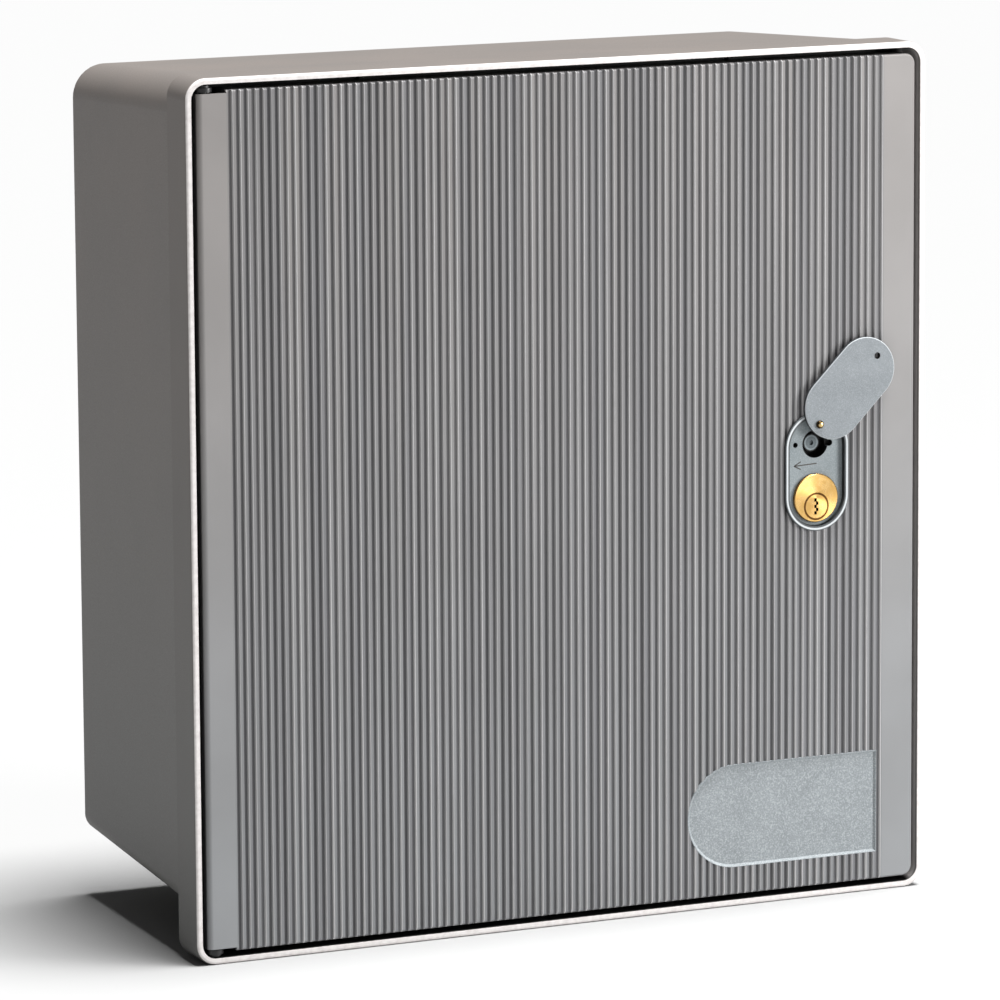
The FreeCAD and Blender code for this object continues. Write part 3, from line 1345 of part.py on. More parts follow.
def rod_guide(side, x, z):
    """A moulded block screwed to the door, with a window that the rod slides through."""
    height = (f"{z} - guide_height / 2", f"{z} + guide_height / 2")
    foot = box(f"guide_foot_{side}", (f"{x} - guide_foot_width / 2", f"{x} + guide_foot_width / 2"),
               ("guide_seat - guide_foot_thickness", "guide_seat"), height)
    tower = box(f"guide_tower_{side}", (f"{x} - guide_width / 2", f"{x} + guide_width / 2"),
                ("guide_back", "guide_seat"), height)
    half = "rod_width / 2 + rod_guide_clearance"
    removed = [box(f"guide_window_{side}", (f"{x} - ({half})", f"{x} + {half}"),
                   ("rod_back - rod_guide_clearance", "deck"), (f"{height[0]} - 1", f"{height[1]} + 1"))]
    for index, sign in enumerate(("-", "+")):
        removed.append(rod(f"guide_hole_{side}_{index}", f"{x} {sign} guide_screw_spread / 2",
                           ("guide_seat - guide_foot_thickness - 1", "guide_seat + 1"), z, "guide_screw"))
    guide = cut(f"rod_guide_{side}", fuse(f"guide_blank_{side}", [foot, tower]), removed)
    return finish(guide, f"rod_guide_{side}")


def rod_guide_screws():
    screws = []
    for side, x, z in guide_places():
        for index, sign in enumerate(("-", "+")):
            screws.append(back_screw(f"guide_screw_{side}_{index}", f"{x} {sign} guide_screw_spread / 2", z,
                                     "guide_seat - guide_foot_thickness",
                                     "guide_foot_thickness + guide_screw_bite",
                                     "guide_screw", "small_screw_head", "screw_head_height"))
    return finish(group("rod_guide_screws", screws), "rod_guide_screws")


def check_and_export():
    """Stop with a plain message if anything failed, then write one file for each sub-part."""
    doc.recompute()
    for obj in doc.Objects:
        if "Invalid" in obj.State or "Error" in obj.State:
            raise RuntimeError(f"{obj.Name} failed: {obj.State}")
    for part in subparts:
        if part.Shape.isNull() or not part.Shape.isValid():
            raise RuntimeError(f"{part.Label} has no valid shape")
    os.makedirs("parts", exist_ok=True)
    for part in subparts:
        part.Shape.exportStep(f"parts/{part.Label}.step")
        print(f"{part.Label}: {len(part.Shape.Solids)} solids, {part.Shape.Volume:.1f} mm3")


fill_sheet()
case_shell()
mounting_plate()
mounting_plate_screws()
for bracket_side, bracket_sign in (("upper", 1), ("lower", -1)):
    hinge_bracket(bracket_side, bracket_sign)
    hinge_pin(bracket_side, bracket_sign)
hinge_washer()
hinge_screws()
door_seal()
door_panel()
lock_escutcheon()
lock_cover()
cover_rivet()
cylinder_body()
key_plug()
plug_cam()
plug_cam_screw()
cylinder_nut()
lock_case()
lock_case_cover()
lock_case_screws()
escutcheon_screws()
drive_spindle()
spindle_pinion()
rod_upper()
rod_lower()
for guide in guide_places():
    rod_guide(*guide)
rod_guide_screws()
check_and_export()
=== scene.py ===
import math

import bpy
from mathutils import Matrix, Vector


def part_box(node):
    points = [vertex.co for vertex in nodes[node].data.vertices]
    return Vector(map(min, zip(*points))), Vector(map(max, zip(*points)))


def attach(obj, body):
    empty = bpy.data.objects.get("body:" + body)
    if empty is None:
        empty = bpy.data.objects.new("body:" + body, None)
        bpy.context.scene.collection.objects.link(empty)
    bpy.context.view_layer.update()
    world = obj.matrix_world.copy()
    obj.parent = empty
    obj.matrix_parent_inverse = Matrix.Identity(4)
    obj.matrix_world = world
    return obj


# Looks of the wall-mounted electric meter box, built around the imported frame. All lengths are in metres.

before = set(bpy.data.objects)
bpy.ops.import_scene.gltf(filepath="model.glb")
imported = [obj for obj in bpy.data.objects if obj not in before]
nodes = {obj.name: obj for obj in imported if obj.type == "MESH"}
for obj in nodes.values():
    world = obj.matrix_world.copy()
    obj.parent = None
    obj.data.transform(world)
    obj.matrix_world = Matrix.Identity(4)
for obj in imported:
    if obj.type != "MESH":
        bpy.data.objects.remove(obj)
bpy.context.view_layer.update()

MM = 0.001

# Places read from the frame
plate_low, plate_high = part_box("lock_escutcheon")
door_low, door_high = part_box("door_panel")
case_low, case_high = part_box("case_shell")


def middle(node):
    """The middle of a node's box."""
    low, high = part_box(node)
    return (low + high) / 2


LOCK_X = middle("lock_escutcheon").x
LOCK_Z = middle("lock_escutcheon").z
HEAD = middle("cylinder_body")
PLUG = middle("key_plug")
SPINDLE = middle("drive_spindle")
HEAD_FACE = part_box("cylinder_body")[0].y
COVER_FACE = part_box("lock_cover")[0].y
FRONT = case_low.y
RIM_MIDDLE = (case_low.z + case_high.z) / 2
RIM_CORNER = 10 * MM
RECESS_DEPTH = 16 * MM

# Ribs of the door, as the moulding has them
RIBS_LEFT = door_low.x + 14.2 * MM
RIBS_RIGHT = door_high.x - 16.7 * MM
RIB_COUNT = 88
RIB_PITCH = (RIBS_RIGHT - RIBS_LEFT) / RIB_COUNT
GROOVE_DEPTH = 0.9 * MM

# The bare pad's recess in the door
PAD_RIGHT = door_high.x - 19.6 * MM
PAD_LOW = door_low.z + 13.3 * MM
PAD_LENGTH = 101.7 * MM
PAD_HEIGHT = 50.2 * MM
PAD_DEPTH = 1.05 * MM

# The lock plate: its floor and the radii of its ends
FLOOR_DEPTH = 2.5 * MM
LOCK_FLOOR = plate_low.y + FLOOR_DEPTH
PLATE_OUTER = 17 * MM
PLATE_INNER = 14.8 * MM
PLATE_REACH = (plate_high.z - plate_low.z) / 2 - PLATE_OUTER

# The plate's bores, each x, z and radius: the key hole, the sealing hole and the round end of the notch.
# The radii are a little wider than the bores, so that their walls get the painted black shade too.
KEY_HOLE_RADIUS = 6.75 * MM
SEAL_HOLE_RADIUS = 1.25 * MM
SEAL_HOLE_SHIFT = 10.5 * MM
NOTCH_RADIUS = 1.55 * MM
NOTCH_SHIFT = 7.7 * MM
LOCK_HOLES = [(SPINDLE.x, SPINDLE.z, KEY_HOLE_RADIUS),
              (SPINDLE.x - SEAL_HOLE_SHIFT, SPINDLE.z, SEAL_HOLE_RADIUS),
              (SPINDLE.x + NOTCH_SHIFT, SPINDLE.z, NOTCH_RADIUS)]

# The cover's rivet and its sealing hole, which lies up and to the right at 45 degrees
RIVET_Z = middle("cover_rivet").z
HOLE_FROM_RIVET = 43.8 * MM * math.sqrt(0.5)
COVER_HOLE = (LOCK_X + HOLE_FROM_RIVET, RIVET_Z + HOLE_FROM_RIVET, 1.6 * MM)

# Turned pieces of the lock
PLUG_RADIUS = 6.2 * MM
HEAD_RADIUS = 11.7 * MM
RIVET_RADIUS = 1.4 * MM
SPINDLE_RADIUS = 3.8 * MM
RING_PITCH = 0.3 * MM


def tone(red, green, blue):
    """An sRGB colour, 0 to 255, as a linear colour."""
    linear = []
    for level in (red, green, blue):
        share = level / 255
        linear.append(share / 12.92 if share <= 0.04045 else ((share + 0.055) / 1.055) ** 2.4)
    return (*linear, 1.0)


# Near-black painted shade for the insides of bores and deep holes
BORE_SHADE = tone(7, 7, 8)


# Materials


class Finish:
    """A material put together from texture nodes in the object's own space."""

    def __init__(self, name, roughness=0.5, metallic=0.0):
        self.material = bpy.data.materials.new(name)
        self.material.use_nodes = True
        self.tree = self.material.node_tree
        self.shader = self.tree.nodes["Principled BSDF"]
        self.shader.inputs["Roughness"].default_value = roughness
        self.shader.inputs["Metallic"].default_value = metallic
        self.place = self.add("ShaderNodeTexCoord").outputs["Object"]
        self.colour = None
        self.bumped = None

    def add(self, kind, **settings):
        node = self.tree.nodes.new(kind)
        for name, setting in settings.items():
            setattr(node, name, setting)
        return node

    def link(self, source, target):
        self.tree.links.new(source, target)

    def noise(self, size, detail=2.0, stretch=(1, 1, 1)):
        """Soft noise whose blotches are about one size across, drawn out along an axis if asked."""
        mapping = self.add("ShaderNodeMapping")
        mapping.inputs["Scale"].default_value = [1 / (size * factor) for factor in stretch]
        self.link(self.place, mapping.inputs["Vector"])
        texture = self.add("ShaderNodeTexNoise")
        texture.inputs["Scale"].default_value = 1.0
        texture.inputs["Detail"].default_value = detail
        self.link(mapping.outputs["Vector"], texture.inputs["Vector"])
        return texture.outputs["Fac"]

    def between(self, value, low, high, new_low=0.0, new_high=1.0):
        """A value mapped from one range to another, held at its ends."""
        mapped = self.add("ShaderNodeMapRange", interpolation_type="SMOOTHSTEP")
        self.link(value, mapped.inputs["Value"])
        limits = {"From Min": low, "From Max": high, "To Min": new_low, "To Max": new_high}
        for name, number in limits.items():
            mapped.inputs[name].default_value = number
        return mapped.outputs["Result"]

    def axis(self, name):
        """The object's X, Y or Z."""
        split = self.add("ShaderNodeSeparateXYZ")
        self.link(self.place, split.inputs["Vector"])
        return split.outputs[name]

    def mix(self, share, first, second):
        """A colour between two colours or colour outputs."""
        blend = self.add("ShaderNodeMix", data_type="RGBA")
        self.link(share, blend.inputs["Factor"])
        for socket, colour in ((blend.inputs[6], first), (blend.inputs[7], second)):
            if isinstance(colour, bpy.types.NodeSocket):
                self.link(colour, socket)
            else:
                socket.default_value = colour
        return blend.outputs[2]

    def math(self, operation, first, second=0.0):
        """A result of one output, and of a second output or number where the operation takes two."""
        result = self.add("ShaderNodeMath", operation=operation)
        self.link(first, result.inputs[0])
        if isinstance(second, bpy.types.NodeSocket):
            self.link(second, result.inputs[1])
        else:
            result.inputs[1].default_value = second
        return result.outputs["Value"]

    def radius_from(self, x, z):
        """The distance from an axis along Y."""
        across = self.math("SUBTRACT", self.axis("X"), x)
        up = self.math("SUBTRACT", self.axis("Z"), z)
        return self.length_of(across, up)

    def slot_radius(self, shift_x, shift_z):
        """The distance from the lock plate's upright centre line, which may be shifted."""
        across = self.math("SUBTRACT", self.axis("X"), LOCK_X + shift_x)
        up = self.math("ABSOLUTE", self.math("SUBTRACT", self.axis("Z"), LOCK_Z + shift_z))
        beyond = self.math("MAXIMUM", self.math("SUBTRACT", up, PLATE_REACH), 0.0)
        return self.length_of(across, beyond)

    def length_of(self, across, up):
        """The length of a line with these two parts."""
        square = self.math("ADD", self.math("MULTIPLY", across, across), self.math("MULTIPLY", up, up))
        return self.math("POWER", square, 0.5)

    def reach_past_corner_square(self):
        """The distance outside the rectangle on which the rim's corner arcs are centred."""
        side = self.math("SUBTRACT", self.math("ABSOLUTE", self.axis("X")), case_high.x - RIM_CORNER)
        up = self.math("ABSOLUTE", self.math("SUBTRACT", self.axis("Z"), RIM_MIDDLE))
        past = self.math("SUBTRACT", up, case_high.z - RIM_MIDDLE - RIM_CORNER)
        return self.length_of(self.math("MAXIMUM", side, 0.0), self.math("MAXIMUM", past, 0.0))

    def depth_behind(self, level):
        """How far a point lies behind a plane parallel to the front."""
        return self.math("SUBTRACT", self.axis("Y"), level)

    def window(self, value, low, high, soft):
        """One between two limits and nothing outside them, with soft ends."""
        rising = self.between(value, low - soft, low + soft)
        falling = self.between(value, high - soft, high + soft, 1.0, 0.0)
        return self.math("MULTIPLY", rising, falling)

    def paint(self, colour):
        self.link(colour, self.shader.inputs["Base Color"])

    def gloss(self, roughness):
        self.link(roughness, self.shader.inputs["Roughness"])

    def bump(self, height, depth):
        """Raise the surface by up to a depth, over what was raised before."""
        node = self.add("ShaderNodeBump")
        node.inputs["Distance"].default_value = depth
        node.inputs["Strength"].default_value = 1.0
        self.link(height, node.inputs["Height"])
        if self.bumped:
            self.link(self.bumped, node.inputs["Normal"])
        self.bumped = node.outputs["Normal"]
        self.link(self.bumped, self.shader.inputs["Normal"])


def moulded_plastic(name, upper, lower, spread):
    """Grey moulding compound: a tone that cools downwards, faint clouds, fine grain and varying gloss."""
    finish = Finish(name)
    tint = finish.mix(finish.between(finish.axis("Z"), case_low.z, case_high.z), lower, upper)
    clouds = finish.between(finish.noise(60 * MM, 3.0), 0.3, 0.7, 0.0, spread)
    finish.colour = finish.mix(clouds, tint, tone(98, 96, 94))
    grain = finish.noise(0.5 * MM, 2.0)
    finish.gloss(finish.between(grain, 0.3, 0.7, 0.42, 0.56))
    finish.bump(grain, 0.025 * MM)
    return finish


def case_plastic(name):
    """The case: its rim's front painted pale as a highlight, painted dark shade in the recess behind it,
    and painted light in that recess on the lock's side.
    """
    finish = moulded_plastic(name, tone(111, 105, 101), tone(100, 100, 98), 0.3)
    finish.shader.inputs["Specular IOR Level"].default_value = 0.26
    depth = finish.depth_behind(FRONT)
    # Painted highlight: the rim's front face is painted pale
    rim = finish.between(depth, 0.3 * MM, 0.9 * MM, 1.0, 0.0)
    flecks = finish.between(finish.noise(3 * MM, 4.0), 0.35, 0.7)
    rim_highlight_tone = finish.mix(flecks, tone(226, 222, 220), tone(212, 207, 205))
    # Painted shade in the recess behind the rim, inside the rim's corner arcs
    in_wall = RIM_CORNER - 1.2 * MM
    within = finish.between(finish.reach_past_corner_square(), in_wall, in_wall + 0.1 * MM, 1.0, 0.0)
    behind = finish.between(depth, 0.8 * MM, 3 * MM)
    shallow = finish.between(depth, RECESS_DEPTH + 0.5 * MM, RECESS_DEPTH + 2 * MM, 1.0, 0.0)
    recess = finish.math("MULTIPLY", finish.math("MULTIPLY", within, behind), shallow)
    # On the lock's side the recess is painted pale instead, as painted light
    lock_side = finish.between(finish.axis("X"), case_high.x - 8 * MM, case_high.x - 4 * MM)
    recess_shading_tone = finish.mix(lock_side, tone(16, 15, 15), tone(190, 186, 184))
    colour = finish.mix(rim, finish.colour, rim_highlight_tone)
    finish.paint(finish.mix(recess, colour, recess_shading_tone))
    return finish.material


def door_plastic(name):
    """The door: a painted highlight along one flank of each rib, uneven, painted shade in the grooves, the
    ribbed area darkened unevenly, and sides painted dark as shade at the hinge and pale as light at the
    lock.
    """
    finish = moulded_plastic(name, tone(141, 137, 135), tone(138, 140, 142), 0.2)
    x = finish.axis("X")
    turns = finish.math("DIVIDE", finish.math("SUBTRACT", x, RIBS_LEFT), RIB_PITCH)
    from_groove = finish.math("SUBTRACT", finish.math("FRACT", turns), 0.5)
    inside = finish.window(x, RIBS_LEFT, RIBS_RIGHT, 0.1 * MM)
    depth = finish.depth_behind(FRONT)
    skin = finish.between(depth, GROOVE_DEPTH, 1.2 * GROOVE_DEPTH, 1.0, 0.0)
    ribbed = finish.math("MULTIPLY", inside, skin)
    streaks = finish.noise(6 * MM, 2.0, (1, 200, 200))
    wear_and_highlight = finish.between(streaks, 0.38, 0.62, 0.35, 1.0)
    unevenness = finish.between(finish.noise(11 * MM, 2.0, (1, 200, 200)), 0.35, 0.65, 0.25, 0.85)
    # The ribbed area is darkened unevenly, rib by rib
    colour = finish.mix(finish.math("MULTIPLY", ribbed, unevenness), finish.colour, tone(108, 108, 111))
    # Painted shade in the grooves
    hollow = finish.math("MULTIPLY", ribbed, finish.window(from_groove, -0.28, 0.13, 0.04))
    dark = finish.math("MULTIPLY", hollow, finish.between(streaks, 0.38, 0.62, 0.9, 0.6))
    colour = finish.mix(dark, colour, tone(52, 52, 54))
    # Painted highlight along one flank of each rib, stronger in some streaks
    edge = finish.math("MULTIPLY", ribbed, finish.window(from_groove, 0.17, 0.37, 0.04))
    colour = finish.mix(finish.math("MULTIPLY", edge, wear_and_highlight), colour, tone(196, 195, 195))
    # The door's sides: painted shade on the hinge side, painted light on the lock side
    side = finish.between(depth, 1.4 * MM, 2.4 * MM)
    lock_side = finish.between(x, door_high.x - 6 * MM, door_high.x - 2 * MM)
    side_shading_tone = finish.mix(lock_side, tone(40, 39, 39), tone(170, 167, 166))
    finish.paint(finish.mix(finish.math("MULTIPLY", side, 0.85), colour, side_shading_tone))
    return finish.material


def painted_zinc(name, base, light, speck_size):
    """Satin paint on cast zinc with a fine sparkling grain."""
    finish = Finish(name)
    clouds = finish.between(finish.noise(12 * MM), 0.3, 0.7)
    grain = finish.noise(speck_size, 1.0)
    colour = finish.mix(clouds, base, light)
    finish.colour = finish.mix(finish.between(grain, 0.45, 0.7, 0.0, 0.3), colour, tone(186, 190, 194))
    finish.gloss(finish.between(grain, 0.3, 0.7, 0.36, 0.5))
    finish.bump(grain, 0.02 * MM)
    return finish


def blacken_holes(finish, holes):
    """Bores at the given places, each x, z and radius, are painted black inside as shade."""
    for x, z, radius in holes:
        bore = finish.between(finish.radius_from(x, z), radius - 0.02 * MM, radius + 0.04 * MM, 1.0, 0.0)
        finish.colour = finish.mix(bore, finish.colour, BORE_SHADE)


def cover_paint(name):
    """The cover: a painted highlight along its front edge, sides painted dark as shade, and a sealing hole
    painted dark as shade.
    """
    finish = painted_zinc(name, tone(113, 119, 123), tone(121, 127, 131), 0.35 * MM)
    depth = finish.depth_behind(COVER_FACE)
    # Painted highlight along the rounded front edge
    wear_and_highlight = finish.window(depth, 0.04 * MM, 0.3 * MM, 0.04 * MM)
    finish.colour = finish.mix(wear_and_highlight, finish.colour, tone(176, 181, 184))
    # Painted shade on the cover's sides
    side = finish.between(depth, 0.45 * MM, 0.6 * MM, 0.0, 0.9)
    finish.colour = finish.mix(side, finish.colour, tone(30, 31, 33))
    # Painted shade in the sealing hole
    blacken_holes(finish, [COVER_HOLE])
    finish.paint(finish.colour)
    return finish.material


def plate_paint(name):
    """The lock plate: its crest painted dark as shade with a thin painted highlight line, sides painted
    dark as shade, and painted shade along the foot of its rim.
    """
    finish = painted_zinc(name, tone(119, 129, 132), tone(128, 137, 140), 0.35 * MM)
    depth = finish.depth_behind(plate_low.y)
    # Painted shade on the floor along the foot of the rim, heavier on the left and top
    near_floor = finish.window(depth, 0.3 * MM, FLOOR_DEPTH + 0.1 * MM, 0.05 * MM)
    from_middle = finish.slot_radius(0.45 * MM, -0.3 * MM)
    foot = finish.between(from_middle, PLATE_INNER - 0.9 * MM, PLATE_INNER - 0.4 * MM)
    rim_foot_shade = finish.math("MULTIPLY", near_floor, foot)
    finish.colour = finish.mix(rim_foot_shade, finish.colour, tone(20, 21, 22))
    # Painted shade on the plate's outer sides
    from_outline = finish.slot_radius(0.0, 0.0)
    outside = finish.between(from_outline, PLATE_INNER + 1.4 * MM, PLATE_INNER + 1.6 * MM)
    side = finish.math("MULTIPLY", outside, finish.between(depth, 0.5 * MM, 0.7 * MM, 0.0, 0.9))
    finish.colour = finish.mix(side, finish.colour, tone(34, 35, 37))
    # The crest is painted dark as shade, with a thin painted highlight line near its outer edge
    crest = finish.between(depth, 0.1 * MM, 0.3 * MM, 1.0, 0.0)
    finish.colour = finish.mix(crest, finish.colour, tone(70, 74, 77))
    line = finish.window(from_outline, PLATE_INNER + 0.75 * MM, PLATE_INNER + 1.65 * MM, 0.12 * MM)
    finish.colour = finish.mix(finish.math("MULTIPLY", crest, line), finish.colour, tone(198, 203, 205))
    # Painted shade inside the bores
    blacken_holes(finish, LOCK_HOLES)
    finish.paint(finish.colour)
    return finish.material


def casting_paint(name):
    """Grey cast zinc with a coarser grain, painted black as shade in the lock's bores."""
    finish = painted_zinc(name, tone(96, 98, 102), tone(112, 114, 118), 0.8 * MM)
    # Painted shade inside the bores
    blacken_holes(finish, LOCK_HOLES)
    finish.paint(finish.colour)
    return finish.material


def sanded_pad(name):
    """The pad: pale blue-grey with a sandy grain and faint patches."""
    finish = Finish(name)
    sand = finish.noise(0.7 * MM, 3.0)
    patches = finish.between(finish.noise(14 * MM, 2.0), 0.3, 0.7)
    colour = finish.mix(patches, tone(131, 137, 140), tone(138, 144, 147))
    colour = finish.mix(finish.between(sand, 0.45, 0.75, 0.0, 0.45), colour, tone(190, 195, 198))
    colour = finish.mix(finish.between(sand, 0.25, 0.5, 0.4, 0.0), colour, tone(98, 104, 108))
    finish.paint(colour)
    finish.gloss(finish.between(sand, 0.3, 0.7, 0.45, 0.62))
    finish.bump(sand, 0.1 * MM)
    return finish.material


def turned_brass(name):
    """Brass turned about its cylinder: fine rings, a fanned sheen, a brown ring at the plug, painted shade
    in the keyway and on the head's outer edge.
    """
    finish = Finish(name, metallic=1.0)
    wear_and_highlight = finish.between(finish.noise(3 * MM, 3.0), 0.35, 0.65)
    colour = finish.mix(wear_and_highlight, tone(230, 190, 122), tone(220, 176, 104))
    depth = finish.depth_behind(HEAD_FACE)
    from_plug = finish.radius_from(PLUG.x, PLUG.z)
    ring = finish.window(from_plug, PLUG_RADIUS - 0.5 * MM, PLUG_RADIUS + 0.5 * MM, 0.15 * MM)
    colour = finish.mix(finish.math("MULTIPLY", ring, 0.9), colour, tone(84, 46, 14))
    # Painted shade in the keyway, deeper than the plug's face
    inside = finish.between(from_plug, PLUG_RADIUS, PLUG_RADIUS + 0.1 * MM, 1.0, 0.0)
    sunk = finish.math("MULTIPLY", inside, finish.between(depth, 0.1 * MM, 0.4 * MM))
    colour = finish.mix(sunk, colour, tone(16, 11, 6))
    from_axis = finish.radius_from(HEAD.x, HEAD.z)
    # Painted shade on the head's outer edge
    rounded = finish.between(from_axis, HEAD_RADIUS - 0.5 * MM, HEAD_RADIUS - 0.1 * MM, 0.0, 0.6)
    finish.paint(finish.mix(rounded, colour, tone(120, 80, 34)))
    finish.gloss(finish.between(wear_and_highlight, 0.0, 1.0, 0.27, 0.31))
    finish.shader.inputs["Anisotropic"].default_value = 0.75
    outwards = finish.add("ShaderNodeVectorMath", operation="SUBTRACT")
    finish.link(finish.place, outwards.inputs[0])
    outwards.inputs[1].default_value = (HEAD.x, 0.0, HEAD.z)
    around = finish.add("ShaderNodeVectorMath", operation="CROSS_PRODUCT")
    finish.link(outwards.outputs["Vector"], around.inputs[0])
    around.inputs[1].default_value = (0.0, 1.0, 0.0)
    level = finish.add("ShaderNodeVectorTransform", vector_type="VECTOR", convert_from="OBJECT",
                       convert_to="WORLD")
    finish.link(around.outputs["Vector"], level.inputs["Vector"])
    finish.link(level.outputs["Vector"], finish.shader.inputs["Tangent"])
    rings = finish.math("SINE", finish.math("MULTIPLY", from_axis, 2 * math.pi / RING_PITCH))
    finish.bump(rings, 0.001 * MM)
    return finish.material


def rivet_brass(name):
    """A small brass head, darker towards its rim."""
    finish = Finish(name, metallic=1.0)
    unevenness = finish.noise(0.6 * MM, 2.0)
    colour = finish.mix(finish.between(unevenness, 0.35, 0.65), tone(226, 202, 150), tone(176, 146, 92))
    rim = finish.between(finish.radius_from(LOCK_X, RIVET_Z), RIVET_RADIUS - 0.5 * MM, RIVET_RADIUS)
    finish.paint(finish.mix(rim, colour, tone(58, 44, 26)))
    finish.gloss(finish.between(unevenness, 0.3, 0.7, 0.25, 0.4))
    finish.bump(unevenness, 0.01 * MM)
    return finish.material


def bright_steel(name, base, brushed_along, roughness=0.32):
    """Drawn or zinc-plated steel with fine lines along one axis."""
    finish = Finish(name, metallic=1.0)
    lines = finish.noise(0.35 * MM, 3.0, brushed_along)
    patches = finish.between(finish.noise(8 * MM, 2.0), 0.35, 0.7)
    darker = tuple(level * 0.72 for level in base[:3]) + (1.0,)
    finish.paint(finish.mix(patches, base, darker))
    finish.gloss(finish.between(lines, 0.3, 0.7, roughness - 0.07, roughness + 0.1))
    finish.bump(lines, 0.008 * MM)
    return finish.material


def spindle_grey(name):
    """The spindle: a turned grey face with a pale ring and painted black shade round its edge."""
    finish = Finish(name, metallic=0.3)
    turned = finish.noise(0.5 * MM, 2.0)
    colour = finish.mix(finish.between(turned, 0.3, 0.7), tone(92, 101, 105), tone(112, 121, 125))
    from_axis = finish.radius_from(SPINDLE.x, SPINDLE.z)
    ring = finish.window(from_axis, SPINDLE_RADIUS - 0.9 * MM, SPINDLE_RADIUS - 0.2 * MM, 0.1 * MM)
    colour = finish.mix(finish.math("MULTIPLY", ring, 0.7), colour, tone(150, 160, 164))
    # Painted shade round the edge, where the hole around the post is dark
    bevel = finish.between(from_axis, SPINDLE_RADIUS - 0.15 * MM, SPINDLE_RADIUS)
    finish.paint(finish.mix(bevel, colour, BORE_SHADE))
    finish.gloss(finish.between(turned, 0.3, 0.7, 0.4, 0.55))
    finish.bump(turned, 0.015 * MM)
    return finish.material


def coated_steel(name, base, light):
    """Coated sheet with a faint orange-peel texture."""
    finish = Finish(name)
    peel = finish.noise(0.8 * MM, 2.0)
    finish.paint(finish.mix(finish.between(finish.noise(10 * MM), 0.4, 0.7), base, light))
    finish.gloss(finish.between(peel, 0.3, 0.7, 0.34, 0.5))
    finish.bump(peel, 0.02 * MM)
    return finish.material


def soft_rubber(name):
    """Black rubber with a dull skin and patches of dust."""
    finish = Finish(name)
    dust = finish.between(finish.noise(6 * MM, 4.0), 0.45, 0.8, 0.0, 0.6)
    finish.paint(finish.mix(dust, tone(30, 30, 32), tone(70, 69, 67)))
    finish.gloss(finish.between(finish.noise(1.2 * MM), 0.3, 0.7, 0.62, 0.78))
    finish.bump(finish.noise(0.4 * MM, 3.0), 0.03 * MM)
    return finish.material


def pressed_board(name):
    """Pale insulating board with short fibres."""
    finish = Finish(name)
    fibres = finish.noise(1.2 * MM, 3.0, (4, 1, 1))
    finish.paint(finish.mix(finish.between(fibres, 0.35, 0.7), tone(196, 190, 176), tone(168, 160, 144)))
    finish.gloss(finish.between(fibres, 0.3, 0.7, 0.55, 0.7))
    finish.bump(fibres, 0.03 * MM)
    return finish.material


CASE_GREY = case_plastic("case_grey")
DOOR_GREY = door_plastic("door_grey")
COVER_PAINT = cover_paint("cover_paint")
PLATE_PAINT = plate_paint("lock_plate_paint")
CASTING = casting_paint("zinc_casting")
PAD_PAINT = sanded_pad("pad_paint")
BRASS = turned_brass("turned_brass")
RIVET_BRASS = rivet_brass("rivet_brass")
MARK_BROWN = coated_steel("mark_brown", tone(58, 55, 52), tone(66, 62, 58))
STEEL = bright_steel("bright_steel", tone(192, 194, 196), (1, 1, 12))
ROD_STEEL = bright_steel("zinc_plated_rod", tone(200, 200, 192), (1, 1, 30), 0.36)
SCREW_STEEL = bright_steel("zinc_plated_screw", tone(205, 206, 202), (1, 1, 1), 0.28)
SPINDLE_STEEL = spindle_grey("grey_spindle")
HINGE_BLACK = coated_steel("hinge_black", tone(15, 15, 16), tone(24, 24, 25))
NYLON = coated_steel("black_nylon", tone(30, 30, 32), tone(50, 50, 52))
RUBBER = soft_rubber("seal_rubber")
BOARD = pressed_board("plate_board")

NODE_MATERIALS = {
    "case_shell": CASE_GREY,
    "door_panel": DOOR_GREY,
    "mounting_plate": BOARD,
    "mounting_plate_screws": SCREW_STEEL,
    "hinge_bracket_upper": HINGE_BLACK,
    "hinge_bracket_lower": HINGE_BLACK,
    "hinge_pin_upper": HINGE_BLACK,
    "hinge_pin_lower": HINGE_BLACK,
    "hinge_washer": HINGE_BLACK,
    "hinge_screws": SCREW_STEEL,
    "door_seal": RUBBER,
    "lock_escutcheon": PLATE_PAINT,
    "lock_cover": COVER_PAINT,
    "cover_rivet": RIVET_BRASS,
    "cylinder_body": BRASS,
    "cylinder_nut": BRASS,
    "key_plug": BRASS,
    "plug_cam": STEEL,
    "plug_cam_screw": SCREW_STEEL,
    "lock_case": CASTING,
    "lock_case_cover": STEEL,
    "lock_case_screws": SCREW_STEEL,
    "escutcheon_screws": SCREW_STEEL,
    "drive_spindle": SPINDLE_STEEL,
    "spindle_pinion": STEEL,
    "rod_upper": ROD_STEEL,
    "rod_lower": ROD_STEEL,
    "rod_guide_upper": NYLON,
    "rod_guide_lower": NYLON,
    "rod_guide_screws": SCREW_STEEL,
}


def dress(node, material):
    node.data.materials.clear()
    node.data.materials.append(material)


for node_name, node_material in NODE_MATERIALS.items():
    dress(nodes[node_name], node_material)


# Pieces that the frame doesn't have


def new_piece(name, points, faces, material, body):
    """A mesh piece that rides on a body, smooth where its faces meet gently."""
    mesh = bpy.data.meshes.new(name)
    mesh.from_pydata(points, [], faces)
    mesh.polygons.foreach_set("use_smooth", [True] * len(mesh.polygons))
    mesh.set_sharp_from_angle(angle=math.radians(30))
    mesh.materials.append(material)
    piece = bpy.data.objects.new(name, mesh)
    bpy.context.scene.collection.objects.link(piece)
    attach(piece, body)


ROUND_STEPS = 48


